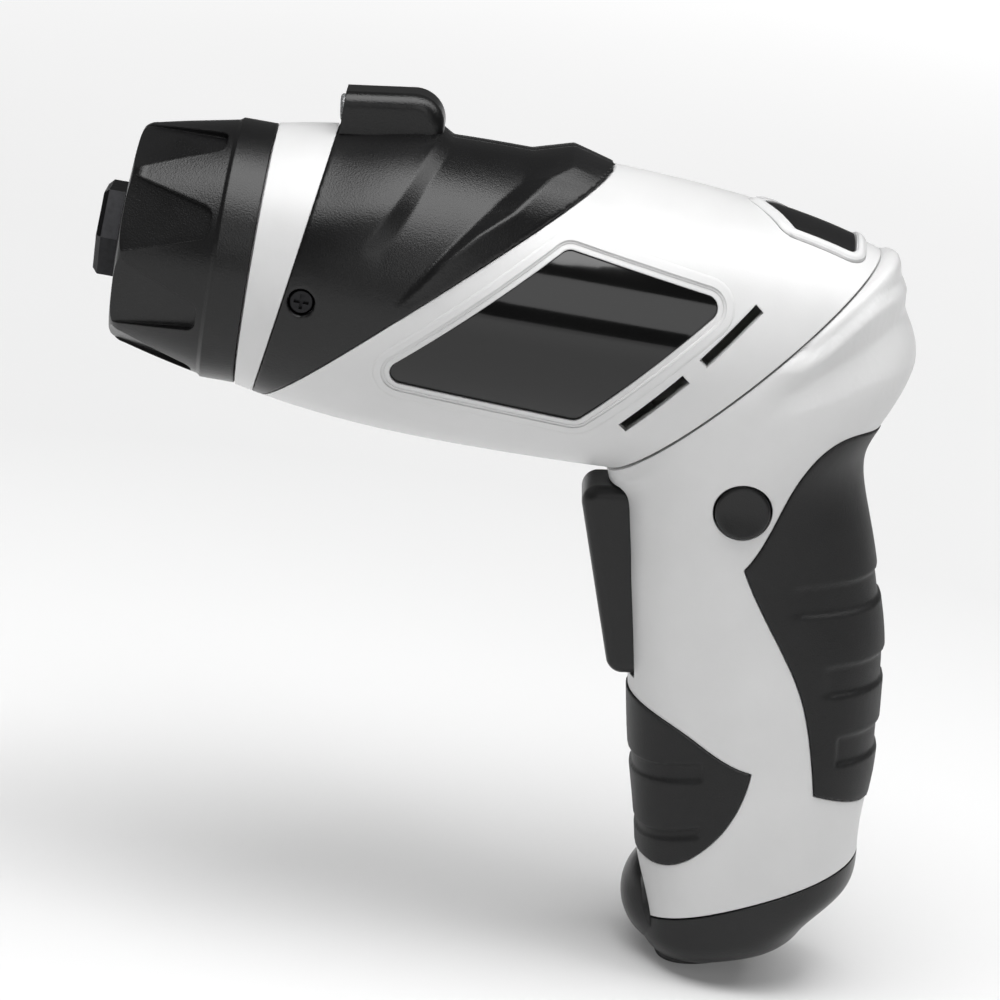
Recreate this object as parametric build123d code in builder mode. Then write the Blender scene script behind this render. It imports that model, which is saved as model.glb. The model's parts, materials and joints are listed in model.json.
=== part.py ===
"""Twist-handle cordless drill driver, built as separate pieces, in millimetres.

The origin is the mouth of the bit socket, on the spindle axis. +X points out of the nose, +Y to the
tool's left and +Z up. "back" is the distance behind the mouth, and "up" the height over the spindle axis.
The handle has its own directions: "drop" runs down its length from the middle of the twist seam,
and "rear" runs across it, away from the trigger.
"""
import math
import os

from build123d import *

# Fits
RUN_FIT = 0.05
BODY_GAP = 0.35
SEAT_FIT = 0.08

# Head outline: distance behind the mouth, and radius
HEAD_FRONT_BACK = 28.2
HEAD_FRONT_RADIUS = 23.5
RING_BACK = 38.5
RING_RADIUS = 25.3
SHOULDER_BACK = 57.0
SHOULDER_RADIUS = 26.9
CREST_BACK = 76.0
CREST_RADIUS = 27.1
REAR_BACK = 113.0
REAR_RADIUS = 25.2
TAIL_BACK = 126.0
TAIL_RADIUS = 23.2
END_BACK = 142.0
END_RADIUS = 18.4
HEAD_WALL = 2.2
NECK_WALL = 1.8
HEAD_REACH = 36.0

# Twist seam between head and handle
TWIST_ANGLE = 41.0
SEAM_BACK = 116.4
SEAM_UP = -3.4
SEAM_GAP = 0.4
SEAM_HALF_CHORD = 31.3
SEAM_HALF_WIDTH = 24.4
BULKHEAD = 2.6

# Swivel hub
HUB_RADIUS = 15.0
HUB_BORE = 10.0
HUB_LIP_RADIUS = 17.6
HUB_LIP = 2.2

# Dark front sleeve
SLEEVE_SKIN = 1.9
SLEEVE_FRONT_TOP_BACK = 38.5
SLEEVE_FRONT_LOW_BACK = 31.2
SLEEVE_REAR_AXIS_BACK = 56.2
SLEEVE_REAR_SLOPE = 1.07
SLEEVE_REAR_BEND = 0.004
SLEEVE_EDGE_STEPS = 8
SLEEVE_SCREW_BACK = 37.8
SLEEVE_SCREW_UP = -1.5
SLEEVE_SCREW_HEAD_RADIUS = 2.3
SLEEVE_SCREW_RADIUS = 1.0
SLEEVE_SCREW_REACH = 1.6
SLEEVE_SCREW_SINK = 0.5

# Torque collar
COLLAR_FRONT_BACK = 3.9
COLLAR_FACE_RADIUS = 17.3
COLLAR_NOSE_BACK = 7.4
COLLAR_NOSE_RADIUS = 20.0
COLLAR_CONE_BACK = 21.2
COLLAR_CONE_RADIUS = 22.8
COLLAR_BAND_RADIUS = 23.3
COLLAR_BAND_STEP = 0.7
COLLAR_CAVITY_RADIUS = 15.6
COLLAR_FRONT_WALL = 2.4
COLLAR_FACE_DISH = 0.8
SPIGOT_LENGTH = 3.4
SPIGOT_RADIUS = 20.6
SCALLOPS = 8
SCALLOP_DEPTH = 1.5
SCALLOP_FRONT_WIDTH = 15.6
SCALLOP_TIP_WIDTH = 5.4
SCALLOP_TIP_ROUND = 2.2
SCALLOP_TIP_BACK = 20.7
SCALLOP_OVERRUN = 2.0

# Bit holder, also the carrier of the second gear stage
TIP_FLATS = 15.4
TIP_LENGTH = 6.5
TIP_CHAMFER = 0.9
HOLDER_LENGTH = 17.5
SOCKET_FLATS = 6.4
SOCKET_DEPTH = 14.0
MAGNET_THICKNESS = 2.0
MAGNET_RADIUS = 2.8
SPINDLE_RADIUS = 6.5
BUSHING_WALL = 1.6
NOSE_WALL = 1.8
NOSE_FRONT_BACK = 8.0

# Clutch
NUT_BACK = 10.4
NUT_LENGTH = 4.0
NUT_RADIUS = 14.6
NUT_KEYS = 3
NUT_KEY_WIDTH = 4.0
NUT_KEY_REACH = 1.9
CLUTCH_BALLS = 6
CLUTCH_BALL_RADIUS = 1.5
CLUTCH_WASHER = 1.2
CLUTCH_WIRE_RADIUS = 0.6
CLUTCH_COILS = 4

# Gear train
GEAR_MODULE = 0.8
SUN_TEETH = 12
PLANET_TEETH = 12
RING_TEETH = 36
PLANETS = 3
TOOTH_ADDENDUM = 0.7
TOOTH_DEDENDUM = 1.0
TOOTH_SHARE = 0.36
TOOTH_SLOPE = 0.36
GEAR_WIDTH = 6.0
GEAR_SIDE_GAP = 0.4
CARRIER_THICKNESS = 1.8
CARRIER_RADIUS = 12.4
PLANET_PIN_RADIUS = 1.5
RING_WALL = 1.6
GEARBOX_WALL = 1.8
GEARBOX_FRONT_BACK = 28.6
GEARBOX_FRONT_WALL = 2.6

# Motor
MOTOR_RADIUS = 13.9
MOTOR_LENGTH = 32.0
MOTOR_PLATE = 1.6
MOTOR_SHAFT_RADIUS = 1.15
MOTOR_NECK_RADIUS = 5.0
MOTOR_NECK = 1.4
MOTOR_CAN_WALL = 1.0
MOTOR_FRONT_WALL = 1.6
ARMATURE_RADIUS = 11.4
ARMATURE_LENGTH = 22.0
ARMATURE_SLOTS = 3
ARMATURE_SLOT_WIDTH = 3.0
TERMINAL_WIDTH = 3.0
TERMINAL_LENGTH = 4.0
TERMINAL_SHEET = 0.6
ENDBELL_LENGTH = 4.0
RIB_THICKNESS = 2.0
MOTOR_RIB_INSET = 6.0

# Work light
LIGHT_FRONT_BACK = 38.9
LIGHT_LENGTH = 18.0
LIGHT_HALF_WIDTH = 5.6
LIGHT_TOP_UP = 32.2
LIGHT_TILT = 8.0
LENS_RADIUS = 2.5
LENS_DEPTH = 3.0
DIODE_LENGTH = 5.0
LENS_PROUD = 0.6
LIGHT_LENS_DROP = 3.6
LIGHT_REAR_ROUND = 5.5
LIGHT_SIDE_ROUND = 2.6

# Lock button
LOCK_FRONT_BACK = 114.8
LOCK_LENGTH = 17.0
LOCK_POINT = 6.0
LOCK_HALF_WIDTH = 8.3
LOCK_CORNER_RADIUS = 1.2
LOCK_TOP_UP = 24.7
LOCK_TILT = 14.0
LOCK_DEPTH = 4.2
LOCK_TRAVEL = 2.0
LOCK_RIM = 1.8
LOCK_RIM_PROUD = 0.5
LOCK_SPRING_RADIUS = 2.4
LOCK_SPRING_PLACE = 6.5
LOCK_SHELF = 1.6
LOCK_SHELF_LENGTH = 7.0
LOCK_SEAM_MARGIN = 1.5
LOCK_PROUD = 0.3

# Side panels and vents
PANEL_CORNERS = ((51.8, -12.8), (81.4, 15.4), (110.7, 11.2), (88.2, -14.4))
PANEL_CORNER_RADIUS = 2.2
PANEL_SINK = 0.7
PANEL_SHEET = 1.0
PANEL_RIM = 1.5
PANEL_RIM_SINK = 0.35
VENT_ENDS = (((115.8, 11.0), (107.8, 0.4)), ((105.4, -2.8), (96.3, -14.1)))
VENT_WIDTH = 1.9

# Handle cross-sections: drop, lean, front reach, rear reach, half width, roundness
HANDLE_LEAN = 2 * TWIST_ANGLE
HANDLE_SECTIONS = (
    (2.6, 39.5, 30.0, 35.0, 24.7, 2.0),
    (7.7, 33.7, 27.4, 34.4, 24.2, 2.05),
    (12.0, 28.0, 24.8, 34.6, 23.8, 2.07),
    (15.9, 22.6, 22.4, 31.2, 23.3, 2.1),
    (20.4, 20.7, 21.6, 25.3, 22.3, 2.15),
    (25.5, 17.3, 20.6, 23.4, 21.3, 2.2),
    (37.8, 7.4, 19.4, 25.7, 20.0, 2.3),
    (54.0, 1.8, 18.2, 28.2, 19.5, 2.35),
    (71.0, 0.0, 17.2, 27.8, 19.5, 2.35),
    (86.6, 4.5, 15.3, 26.1, 19.6, 2.35),
    (99.0, 9.0, 14.6, 25.5, 19.0, 2.35),
    (110.5, 11.5, 14.5, 16.0, 16.5, 2.3),
)
HANDLE_WALL = 2.4
OUTLINE_POINTS = 28
HANDLE_STEPS = 16
HANDLE_STEP_GROWTH = 1.35

# Battery cap
CAP_DROP = 98.7
CAP_LEAN = 18.0
CAP_ROUND = 6.0
CAP_FLOOR = 3.0
CAP_WALL = 1.6
CAP_PLUG_GAP = 1.2
CAP_RIB = 1.6
LATCH_HALF_WIDTH = 10.5
LATCH_TOP_DROP = 93.2
LATCH_REACH = 7.0
TOE_DROP = 101.2
TOE_REACH = 17.4
TOE_RADIUS = 10.5
TOE_HALF_WIDTH = 13.0

# Battery
CELL_RADIUS = 7.1
CELL_LENGTH = 50.0
CELL_PITCH = 14.6
CELL_TOP_DROP = 40.5
CELL_REAR = 7.0
CELL_NUB_RADIUS = 2.7
CELL_NUB = 1.0
CONTACT_SHEET = 0.5
CONTACT_WIDTH = 8.0
CONTACT_PLATE = 2.6
CONTACT_PLATE_REACH = 8.2

# Trigger
TRIGGER_TOP_DROP = 23.0
TRIGGER_LOW_DROP = 58.0
TRIGGER_TOP_REACH = 28.3
TRIGGER_LOW_REACH = 21.6
TRIGGER_HALF_WIDTH = 7.2
TRIGGER_ROUND = 2.2
TRIGGER_FLANGE_REACH = 13.7
TRIGGER_FLANGE = 1.2
TRIGGER_FLANGE_OVERLAP = 2.0
TRIGGER_TRAVEL = 3.5
TRIGGER_CORNER = 3.0
SWITCH_HEIGHT = 9.0
SWITCH_DEPTH = 10.0
SWITCH_HALF_WIDTH = 5.0
TRIGGER_SPRING_RADIUS = 2.2

# Direction button
BUTTON_RADIUS = 4.9
BUTTON_DROP = 22.5
BUTTON_REAR = 0.4
BUTTON_PROUD = 0.8
BUTTON_ROUND = 0.7
BUTTON_HEAD = 8.0
BUTTON_ROD_RADIUS = 2.4

# Soft grips
GRIP_SKIN = 1.3
GRIP_PROUD = 0.35
GRIP_REACH = 45.0
REAR_GRIP_UPPER = ((10.0, 26.0), (11.4, 14.0), (14.4, 11.4), (25.3, 5.9), (33.5, 1.2))
REAR_GRIP_LOWER = ((33.5, 1.2), (41.6, 4.9), (48.1, 8.4), (57.6, 12.7), (64.1, 14.3), (75.9, 15.9))
REAR_GRIP_END_SLOPE = 0.35
FRONT_GRIP_UPPER = ((61.4, -17.1), (63.0, -12.6), (65.4, -7.4), (68.6, -2.3), (71.6, 4.6))
FRONT_GRIP_LOWER = ((71.6, 4.6), (76.7, 3.3), (82.2, 0.6), (87.1, -3.5), (90.4, -7.6), (91.9, -12.0))
FRONT_GRIP_END_SLOPE = 0.0

# Springs and screws
SPRING_WIRE_RADIUS = 0.3
SPRING_COILS = 3
SPRING_SPARE = 0.2
SCREW_RADIUS = 1.3
SCREW_HEAD_RADIUS = 2.4
SCREW_HEAD = 1.6
SCREW_CHAMFER = 0.4
CROSS_LENGTH = 2.6
CROSS_WIDTH = 0.6
CROSS_DEPTH = 0.9
BOSS_RADIUS = 3.3
SCREW_REACH = 8.0
SCREW_TIP_GAP = 0.5
HEAD_SCREW_SEAT = 10.0
HEAD_SCREWS = ((66.0, 19.4), (66.0, -19.4), (100.0, 18.2), (91.0, -19.6))
HANDLE_SCREWS = ((2.0, 20.0), (31.0, 17.0), (68.0, -11.2))

# Derived places along the drive train
carrier_two_back = GEARBOX_FRONT_BACK + GEARBOX_FRONT_WALL + GEAR_SIDE_GAP
gears_two_back = carrier_two_back + CARRIER_THICKNESS + GEAR_SIDE_GAP
carrier_one_back = gears_two_back + GEAR_WIDTH + GEAR_SIDE_GAP
gears_one_back = carrier_one_back + CARRIER_THICKNESS + GEAR_SIDE_GAP
plate_back = gears_one_back + GEAR_WIDTH + GEAR_SIDE_GAP
motor_back = plate_back + MOTOR_PLATE
motor_end_back = motor_back + MOTOR_LENGTH
sun_pitch_radius = GEAR_MODULE * SUN_TEETH / 2
planet_pitch_radius = GEAR_MODULE * PLANET_TEETH / 2
ring_pitch_radius = GEAR_MODULE * RING_TEETH / 2
planet_orbit = sun_pitch_radius + planet_pitch_radius
ring_outer_radius = ring_pitch_radius + TOOTH_DEDENDUM + RING_WALL
gearbox_radius = ring_outer_radius + SEAT_FIT + GEARBOX_WALL
bushing_radius = SPINDLE_RADIUS + RUN_FIT + BUSHING_WALL
nose_radius = bushing_radius + SEAT_FIT + NOSE_WALL
tip_corner_radius = TIP_FLATS / math.sqrt(3)

# Directions of the handle, as unit vectors
lean = math.radians(HANDLE_LEAN)
drop_direction = Vector(-math.cos(lean), 0, -math.sin(lean))
rear_direction = Vector(-math.sin(lean), 0, math.cos(lean))
seam_centre = Vector(-SEAM_BACK, 0, SEAM_UP)


def station(back):
    """The plane across the spindle axis at a distance behind the mouth, facing the nose."""
    return Plane(origin=(-back, 0, 0), x_dir=(0, 1, 0), z_dir=(1, 0, 0))


def side(back, up):
    """A point of a side view drawing on the middle plane."""
    return (-back, up)


def grip_point(drop, rear):
    """A point of the handle on the middle plane."""
    return seam_centre + drop_direction * drop + rear_direction * rear


def grip_side(drop, rear):
    """A point of the handle in a side view drawing."""
    point = grip_point(drop, rear)
    return (point.X, point.Z)


def grip_plane(drop, tilt):
    """The plane across the handle at a drop, with its front edge tilted down; x runs to the rear."""
    turn = math.radians(tilt)
    across = rear_direction * math.cos(turn) - drop_direction * math.sin(turn)
    along = drop_direction * math.cos(turn) + rear_direction * math.sin(turn)
    return Plane(origin=grip_point(drop, 0), x_dir=across, z_dir=along)


def seam_plane(depth):
    """The twist seam's plane, moved into the handle by a depth."""
    return grip_plane(0, TWIST_ANGLE).offset(depth)


def export(piece, name):
    """Label one finished piece and write it."""
    piece.label = name
    export_step(piece, f"parts/{name}.step")


os.makedirs("parts", exist_ok=True)


def head_form(inset, front_back):
    """The head's round body, smaller by an inset, from a station to past the seam."""
    with BuildPart() as form:
        with BuildSketch(Plane.XZ):
            with BuildLine():
                skin = Spline(
                    side(HEAD_FRONT_BACK, HEAD_FRONT_RADIUS - inset),
                    side(RING_BACK, RING_RADIUS - inset),
                    side(SHOULDER_BACK, SHOULDER_RADIUS - inset),
                    side(CREST_BACK, CREST_RADIUS - inset),
                    side(REAR_BACK, REAR_RADIUS - inset),
                    side(TAIL_BACK, TAIL_RADIUS - inset),
                    side(END_BACK, END_RADIUS - inset),
                )
                Polyline(skin @ 1, side(END_BACK, 0), side(HEAD_FRONT_BACK, 0), skin @ 0)
            make_face()
        revolve(axis=Axis.X)
        split(bisect_by=station(front_back), keep=Keep.BOTTOM)
    return form.part


def smooth_value(places, values, place):
    """A smooth curve through values at rising places, with no overshoot, read at one place."""
    steps = [b - a for a, b in zip(places, places[1:])]
    rises = [(b - a) / step for a, b, step in zip(values, values[1:], steps)]
    slopes = [rises[0]]
    for before, after in zip(rises, rises[1:]):
        slopes.append(2 * before * after / (before + after) if before * after > 0 else 0.0)
    slopes.append(rises[-1])
    span = 0
    while span < len(steps) - 1 and place > places[span + 1]:
        span += 1
    step = steps[span]
    share = (place - places[span]) / step
    bend_in = slopes[span] - rises[span]
    bend_out = slopes[span + 1] - rises[span]
    line = values[span] + rises[span] * step * share
    return line + step * share * (1 - share) * (bend_in * (1 - share) - bend_out * share)


def handle_outline(drop, grow):
    """The handle's tilt at a drop and the points of its outline there, larger all round by a growth."""
    seam_section = (0.0, TWIST_ANGLE, SEAM_HALF_CHORD, SEAM_HALF_CHORD, SEAM_HALF_WIDTH, 2.0)
    columns = list(zip(seam_section, *HANDLE_SECTIONS))
    tilt, front, rear, half_width, roundness = (smooth_value(columns[0], c, drop) for c in columns[1:])
    half_length = (front + rear) / 2 + grow
    middle = (rear - front) / 2
    points = []
    for step in range(OUTLINE_POINTS):
        turn = 2 * math.pi * (step + 0.5) / OUTLINE_POINTS
        along = math.copysign(abs(math.cos(turn)) ** (2 / roundness), math.cos(turn))
        across = math.copysign(abs(math.sin(turn)) ** (2 / roundness), math.sin(turn))
        points.append((middle + half_length * along, (half_width + grow) * across))
    return tilt, points


def handle_form(grow, top_depth):
    """The handle's body, larger all round by a growth, from a depth below the seam to the bottom."""
    bottom_drop = HANDLE_SECTIONS[-1][0]
    with BuildPart() as form:
        for step in range(HANDLE_STEPS + 1):
            drop = bottom_drop * (step / HANDLE_STEPS) ** HANDLE_STEP_GROWTH
            tilt, points = handle_outline(drop, grow)
            plane = grip_plane(drop, tilt)
            if step == 0:
                plane = plane.offset(top_depth)
            with BuildSketch(plane):
                with BuildLine():
                    Spline(*points, periodic=True)
                make_face()
        loft()
    return form.part


def round_bar(radius, front_back, rear_back):
    """A round bar on the spindle axis between two stations."""
    with BuildPart() as bar:
        with BuildSketch(station(rear_back)):
            Circle(radius)
        extrude(amount=rear_back - front_back)
    return bar.part


def cross_bar(radius, place, low_y, high_y):
    """A round bar along Y at a point of the middle plane."""
    with BuildPart() as bar:
        with BuildSketch(Plane.XZ.offset(-low_y)):
            with Locations(place):
                Circle(radius)
        extrude(amount=low_y - high_y)
    return bar.part


def side_block(points, half_width):
    """A straight-edged side view outline, extruded to both sides of the middle plane."""
    with BuildPart() as block:
        with BuildSketch(Plane.XZ):
            with BuildLine():
                Polyline(*points, close=True)
            make_face()
        extrude(amount=half_width, both=True)
    return block.part


def coil(plane, radius, wire, length, coils):
    """A coil spring that stands on a plane."""
    rise = length - 2 * wire
    with BuildPart() as spring:
        with BuildLine() as path:
            Helix(pitch=rise / coils, height=rise, radius=radius, center=(0, 0, wire))
        with BuildSketch(Plane(origin=path.line @ 0, z_dir=path.line % 0)):
            Circle(wire)
        sweep(path=path.line, is_frenet=True)
    return spring.part.moved(plane.location)


def tooth_outline(teeth, inside, phase):
    """The corner points of straight-flanked teeth, outside a gear or inside a ring."""
    pitch_radius = GEAR_MODULE * teeth / 2
    turn = -1 if inside else 1
    root_radius = pitch_radius - turn * TOOTH_DEDENDUM
    tip_radius = pitch_radius + turn * TOOTH_ADDENDUM
    thickness = TOOTH_SHARE * math.pi / teeth * pitch_radius
    root_half = (thickness + TOOTH_DEDENDUM * TOOTH_SLOPE) / root_radius
    tip_half = (thickness - TOOTH_ADDENDUM * TOOTH_SLOPE) / tip_radius
    corners = (
        (root_radius, -root_half), (tip_radius, -tip_half), (tip_radius, tip_half), (root_radius, root_half)
    )
    points = []
    for tooth in range(teeth):
        middle = math.radians(phase) + 2 * math.pi * tooth / teeth
        for radius, half in corners:
            points.append((radius * math.cos(middle + half), radius * math.sin(middle + half)))
    return points


def toothed_bar(teeth, inside, phase, front_back, rear_back):
    """A bar with the outline of teeth, between two stations."""
    with BuildPart() as bar:
        with BuildSketch(station(rear_back)):
            with BuildLine():
                Polyline(*tooth_outline(teeth, inside, phase), close=True)
            make_face()
        extrude(amount=rear_back - front_back)
    return bar.part


def sleeve_rear_back(up):
    """The sleeve's slanted rear edge in side view."""
    return SLEEVE_REAR_AXIS_BACK + SLEEVE_REAR_SLOPE * up + SLEEVE_REAR_BEND * up ** 2


def sleeve_zone(shrink):
    """Everything between the sleeve's front plane and its rear edge, smaller by a shrink at both."""
    high = HEAD_REACH
    low = -RING_RADIUS
    slant = (SLEEVE_FRONT_TOP_BACK - SLEEVE_FRONT_LOW_BACK) / (RING_RADIUS + HEAD_FRONT_RADIUS)
    low_front = SLEEVE_FRONT_LOW_BACK + (HEAD_FRONT_RADIUS + low) * slant + shrink
    high_front = SLEEVE_FRONT_TOP_BACK + (high - RING_RADIUS) * slant + shrink
    heights = [low + (high - low) * step / SLEEVE_EDGE_STEPS for step in range(SLEEVE_EDGE_STEPS + 1)]
    with BuildPart() as zone:
        with BuildSketch(Plane.XZ):
            with BuildLine():
                edge = Spline(*[side(sleeve_rear_back(up) - shrink, up) for up in heights])
                Polyline(edge @ 1, side(high_front, high), side(low_front, low), edge @ 0)
            make_face()
        extrude(amount=HEAD_REACH, both=True)
    return zone.part


def behind_sleeve(distance):
    """Everything behind the sleeve's rear edge by a distance."""
    reach = HEAD_REACH
    heights = [reach * (2 * step / SLEEVE_EDGE_STEPS - 1) for step in range(SLEEVE_EDGE_STEPS + 1)]
    with BuildPart() as zone:
        with BuildSketch(Plane.XZ):
            with BuildLine():
                edge = Spline(*[side(sleeve_rear_back(up) + distance, up) for up in heights])
                Polyline(edge @ 1, side(END_BACK, reach), side(END_BACK, -reach), edge @ 0)
            make_face()
        extrude(amount=reach, both=True)
    return zone.part


def lock_plane(depth, place=0.0):
    """The lock button's top plane, sunk by a depth, with its origin moved to the rear by a place."""
    turn = math.radians(LOCK_TILT)
    outward = Vector(-math.sin(turn), 0, math.cos(turn))
    along = Vector(-math.cos(turn), 0, -math.sin(turn))
    front = Vector(-LOCK_FRONT_BACK, 0, LOCK_TOP_UP)
    return Plane(origin=front + along * place - outward * depth, x_dir=along, z_dir=outward)


def lock_column(grow, top, bottom):
    """The lock button's pointed outline, larger by a growth, from a height over its top plane to a depth."""
    with BuildPart() as column:
        with BuildSketch(lock_plane(bottom)):
            with BuildLine():
                Polyline(
                    (0, 0),
                    (LOCK_POINT, LOCK_HALF_WIDTH),
                    (LOCK_LENGTH, LOCK_HALF_WIDTH),
                    (LOCK_LENGTH, -LOCK_HALF_WIDTH),
                    (LOCK_POINT, -LOCK_HALF_WIDTH),
                    close=True,
                )
            make_face()
            fillet(vertices(), radius=LOCK_CORNER_RADIUS)
            if grow:
                offset(amount=grow)
        extrude(amount=top + bottom)
    return column.part


def panel_column(grow):
    """The side panel's outline, larger by a growth, through the left side."""
    with BuildPart() as column:
        with BuildSketch(Plane.XZ):
            with BuildLine():
                Polyline(*[side(back, up) for back, up in PANEL_CORNERS], close=True)
            make_face()
            fillet(vertices(), radius=PANEL_CORNER_RADIUS)
            if grow:
                offset(amount=grow)
        extrude(amount=-HEAD_REACH)
    return column.part


# Casing of the head
neck_inset = SLEEVE_SKIN + SEAT_FIT
cavity_inset = neck_inset + NECK_WALL
rib_inset = (neck_inset + HEAD_WALL) / 2
head_face_depth = -SEAM_GAP / 2
head_floor_depth = head_face_depth - BULKHEAD
hub_lip_depth = head_floor_depth - BODY_GAP
rib_bore = gearbox_radius + SEAT_FIT
motor_bore = MOTOR_RADIUS + SEAT_FIT
motor_rib_backs = (motor_back + MOTOR_RIB_INSET, motor_end_back - MOTOR_RIB_INSET)
spring_solid = 2 * SPRING_WIRE_RADIUS * (SPRING_COILS + 1)
lock_spring_length = LOCK_TRAVEL + spring_solid + SPRING_SPARE
lock_shelf_depth = LOCK_DEPTH + lock_spring_length

with BuildPart() as head_cavity:
    add(head_form(HEAD_WALL, HEAD_FRONT_BACK))
    add(behind_sleeve(HEAD_WALL), mode=Mode.INTERSECT)
    add(head_form(cavity_inset, HEAD_FRONT_BACK))
    split(bisect_by=seam_plane(head_floor_depth), keep=Keep.BOTTOM)

with BuildPart() as head_frame:
    add(round_bar(HEAD_REACH, HEAD_FRONT_BACK, HEAD_FRONT_BACK + RIB_THICKNESS))
    add(round_bar(HEAD_REACH, plate_back - RIB_THICKNESS, plate_back))
    add(round_bar(rib_bore, HEAD_FRONT_BACK, plate_back), mode=Mode.SUBTRACT)
    for back in motor_rib_backs:
        add(round_bar(HEAD_REACH, back, back + RIB_THICKNESS))
    for place in HEAD_SCREWS:
        add(cross_bar(BOSS_RADIUS, side(*place), -HEAD_REACH, HEAD_REACH))
    with BuildSketch(lock_plane(lock_shelf_depth + LOCK_SHELF, LOCK_SPRING_PLACE)):
        Rectangle(LOCK_SHELF_LENGTH, 2 * HEAD_REACH)
    extrude(amount=LOCK_SHELF)
    add(round_bar(motor_bore, plate_back, SEAM_BACK), mode=Mode.SUBTRACT)
    add(head_form(rib_inset, HEAD_FRONT_BACK), mode=Mode.INTERSECT)
    split(bisect_by=seam_plane(hub_lip_depth - HUB_LIP - BODY_GAP), keep=Keep.BOTTOM)

with BuildPart() as lock_rim:
    add(lock_column(BODY_GAP + LOCK_RIM, LOCK_DEPTH, LOCK_DEPTH))
    add(head_form(-LOCK_RIM_PROUD, HEAD_FRONT_BACK), mode=Mode.INTERSECT)
    split(bisect_by=seam_plane(head_face_depth), keep=Keep.BOTTOM)

with BuildPart() as lock_pocket:
    add(lock_column(BODY_GAP, LOCK_DEPTH, lock_shelf_depth))

with BuildPart() as sleeve_recess:
    add(sleeve_zone(0))
    add(head_form(neck_inset, HEAD_FRONT_BACK), mode=Mode.SUBTRACT)

with BuildPart() as panel_recess:
    add(panel_column(PANEL_RIM))
    add(head_form(PANEL_RIM_SINK, HEAD_FRONT_BACK), mode=Mode.SUBTRACT)
    add(panel_column(SEAT_FIT))
    add(head_form(PANEL_SINK + PANEL_SHEET + SEAT_FIT, HEAD_FRONT_BACK), mode=Mode.SUBTRACT)

with BuildPart() as vents:
    for high_end, low_end in VENT_ENDS:
        middle = [(a + b) / 2 for a, b in zip(high_end, low_end)]
        run = [a - b for a, b in zip(high_end, low_end)]
        with BuildSketch(Plane.XZ):
            with Locations(side(*middle)):
                Rectangle(math.hypot(*run), VENT_WIDTH, rotation=-math.degrees(math.atan2(run[1], run[0])))
        extrude(amount=-HEAD_REACH)

sleeve_screw_place = side(SLEEVE_SCREW_BACK, SLEEVE_SCREW_UP)
sleeve_screw_seat = math.sqrt((RING_RADIUS - neck_inset) ** 2 - SLEEVE_SCREW_UP ** 2) - SLEEVE_SCREW_SINK
sleeve_hole = cross_bar(
    SLEEVE_SCREW_HEAD_RADIUS + SEAT_FIT, sleeve_screw_place, sleeve_screw_seat, HEAD_REACH
)
sleeve_pilot = cross_bar(
    SLEEVE_SCREW_RADIUS + SEAT_FIT, sleeve_screw_place, sleeve_screw_seat - SLEEVE_SCREW_REACH, HEAD_REACH
)

hub_axis_plane = seam_plane(head_floor_depth - BODY_GAP)

with BuildPart() as head_casing:
    add(head_form(0, HEAD_FRONT_BACK))
    split(bisect_by=seam_plane(head_face_depth), keep=Keep.BOTTOM)
    add(lock_rim.part)
    add(head_cavity.part, mode=Mode.SUBTRACT)
    add(head_frame.part)
    add(round_bar(SPIGOT_RADIUS, HEAD_FRONT_BACK - SPIGOT_LENGTH, HEAD_FRONT_BACK))
    add(
        round_bar(rib_bore, HEAD_FRONT_BACK - SPIGOT_LENGTH, HEAD_FRONT_BACK + RIB_THICKNESS),
        mode=Mode.SUBTRACT
    )
    add(sleeve_recess.part, mode=Mode.SUBTRACT)
    add(lock_pocket.part, mode=Mode.SUBTRACT)
    with BuildSketch(hub_axis_plane):
        Circle(HUB_RADIUS + RUN_FIT)
    extrude(amount=BULKHEAD + SEAM_GAP + BODY_GAP, mode=Mode.SUBTRACT)

with BuildPart() as head_shell_left:
    add(head_casing.part)
    split(bisect_by=Plane.XZ, keep=Keep.BOTTOM)
    add(panel_recess.part, mode=Mode.SUBTRACT)
    add(vents.part, mode=Mode.SUBTRACT)
    add(sleeve_hole, mode=Mode.SUBTRACT)
    add(sleeve_pilot, mode=Mode.SUBTRACT)
    for place in HEAD_SCREWS:
        add(cross_bar(SCREW_RADIUS + SEAT_FIT, side(*place), 0, SCREW_REACH), mode=Mode.SUBTRACT)

with BuildPart() as head_shell_right:
    add(head_casing.part)
    split(bisect_by=Plane.XZ, keep=Keep.TOP)
    add(mirror(panel_recess.part, about=Plane.XZ, mode=Mode.PRIVATE), mode=Mode.SUBTRACT)
    add(mirror(vents.part, about=Plane.XZ, mode=Mode.PRIVATE), mode=Mode.SUBTRACT)
    add(mirror(sleeve_hole, about=Plane.XZ, mode=Mode.PRIVATE), mode=Mode.SUBTRACT)
    add(mirror(sleeve_pilot, about=Plane.XZ, mode=Mode.PRIVATE), mode=Mode.SUBTRACT)
    for place in HEAD_SCREWS:
        add(cross_bar(SCREW_RADIUS + SEAT_FIT, side(*place), -HEAD_REACH, 0), mode=Mode.SUBTRACT)
        add(
            cross_bar(SCREW_HEAD_RADIUS + SEAT_FIT, side(*place), -HEAD_REACH, -HEAD_SCREW_SEAT),
            mode=Mode.SUBTRACT
        )

export(head_shell_left.part, "head_shell_left")
export(head_shell_right.part, "head_shell_right")


# Dark sleeve over the front of the head, in two halves, with a screw in each side
with BuildPart() as sleeve_left:
    add(head_form(0, HEAD_FRONT_BACK))
    add(head_form(SLEEVE_SKIN, HEAD_FRONT_BACK), mode=Mode.SUBTRACT)
    add(sleeve_zone(SEAT_FIT), mode=Mode.INTERSECT)
    split(bisect_by=Plane.XZ, keep=Keep.BOTTOM)
    add(sleeve_hole, mode=Mode.SUBTRACT)

with BuildPart() as sleeve_right:
    mirror(sleeve_left.part, about=Plane.XZ)

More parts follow.
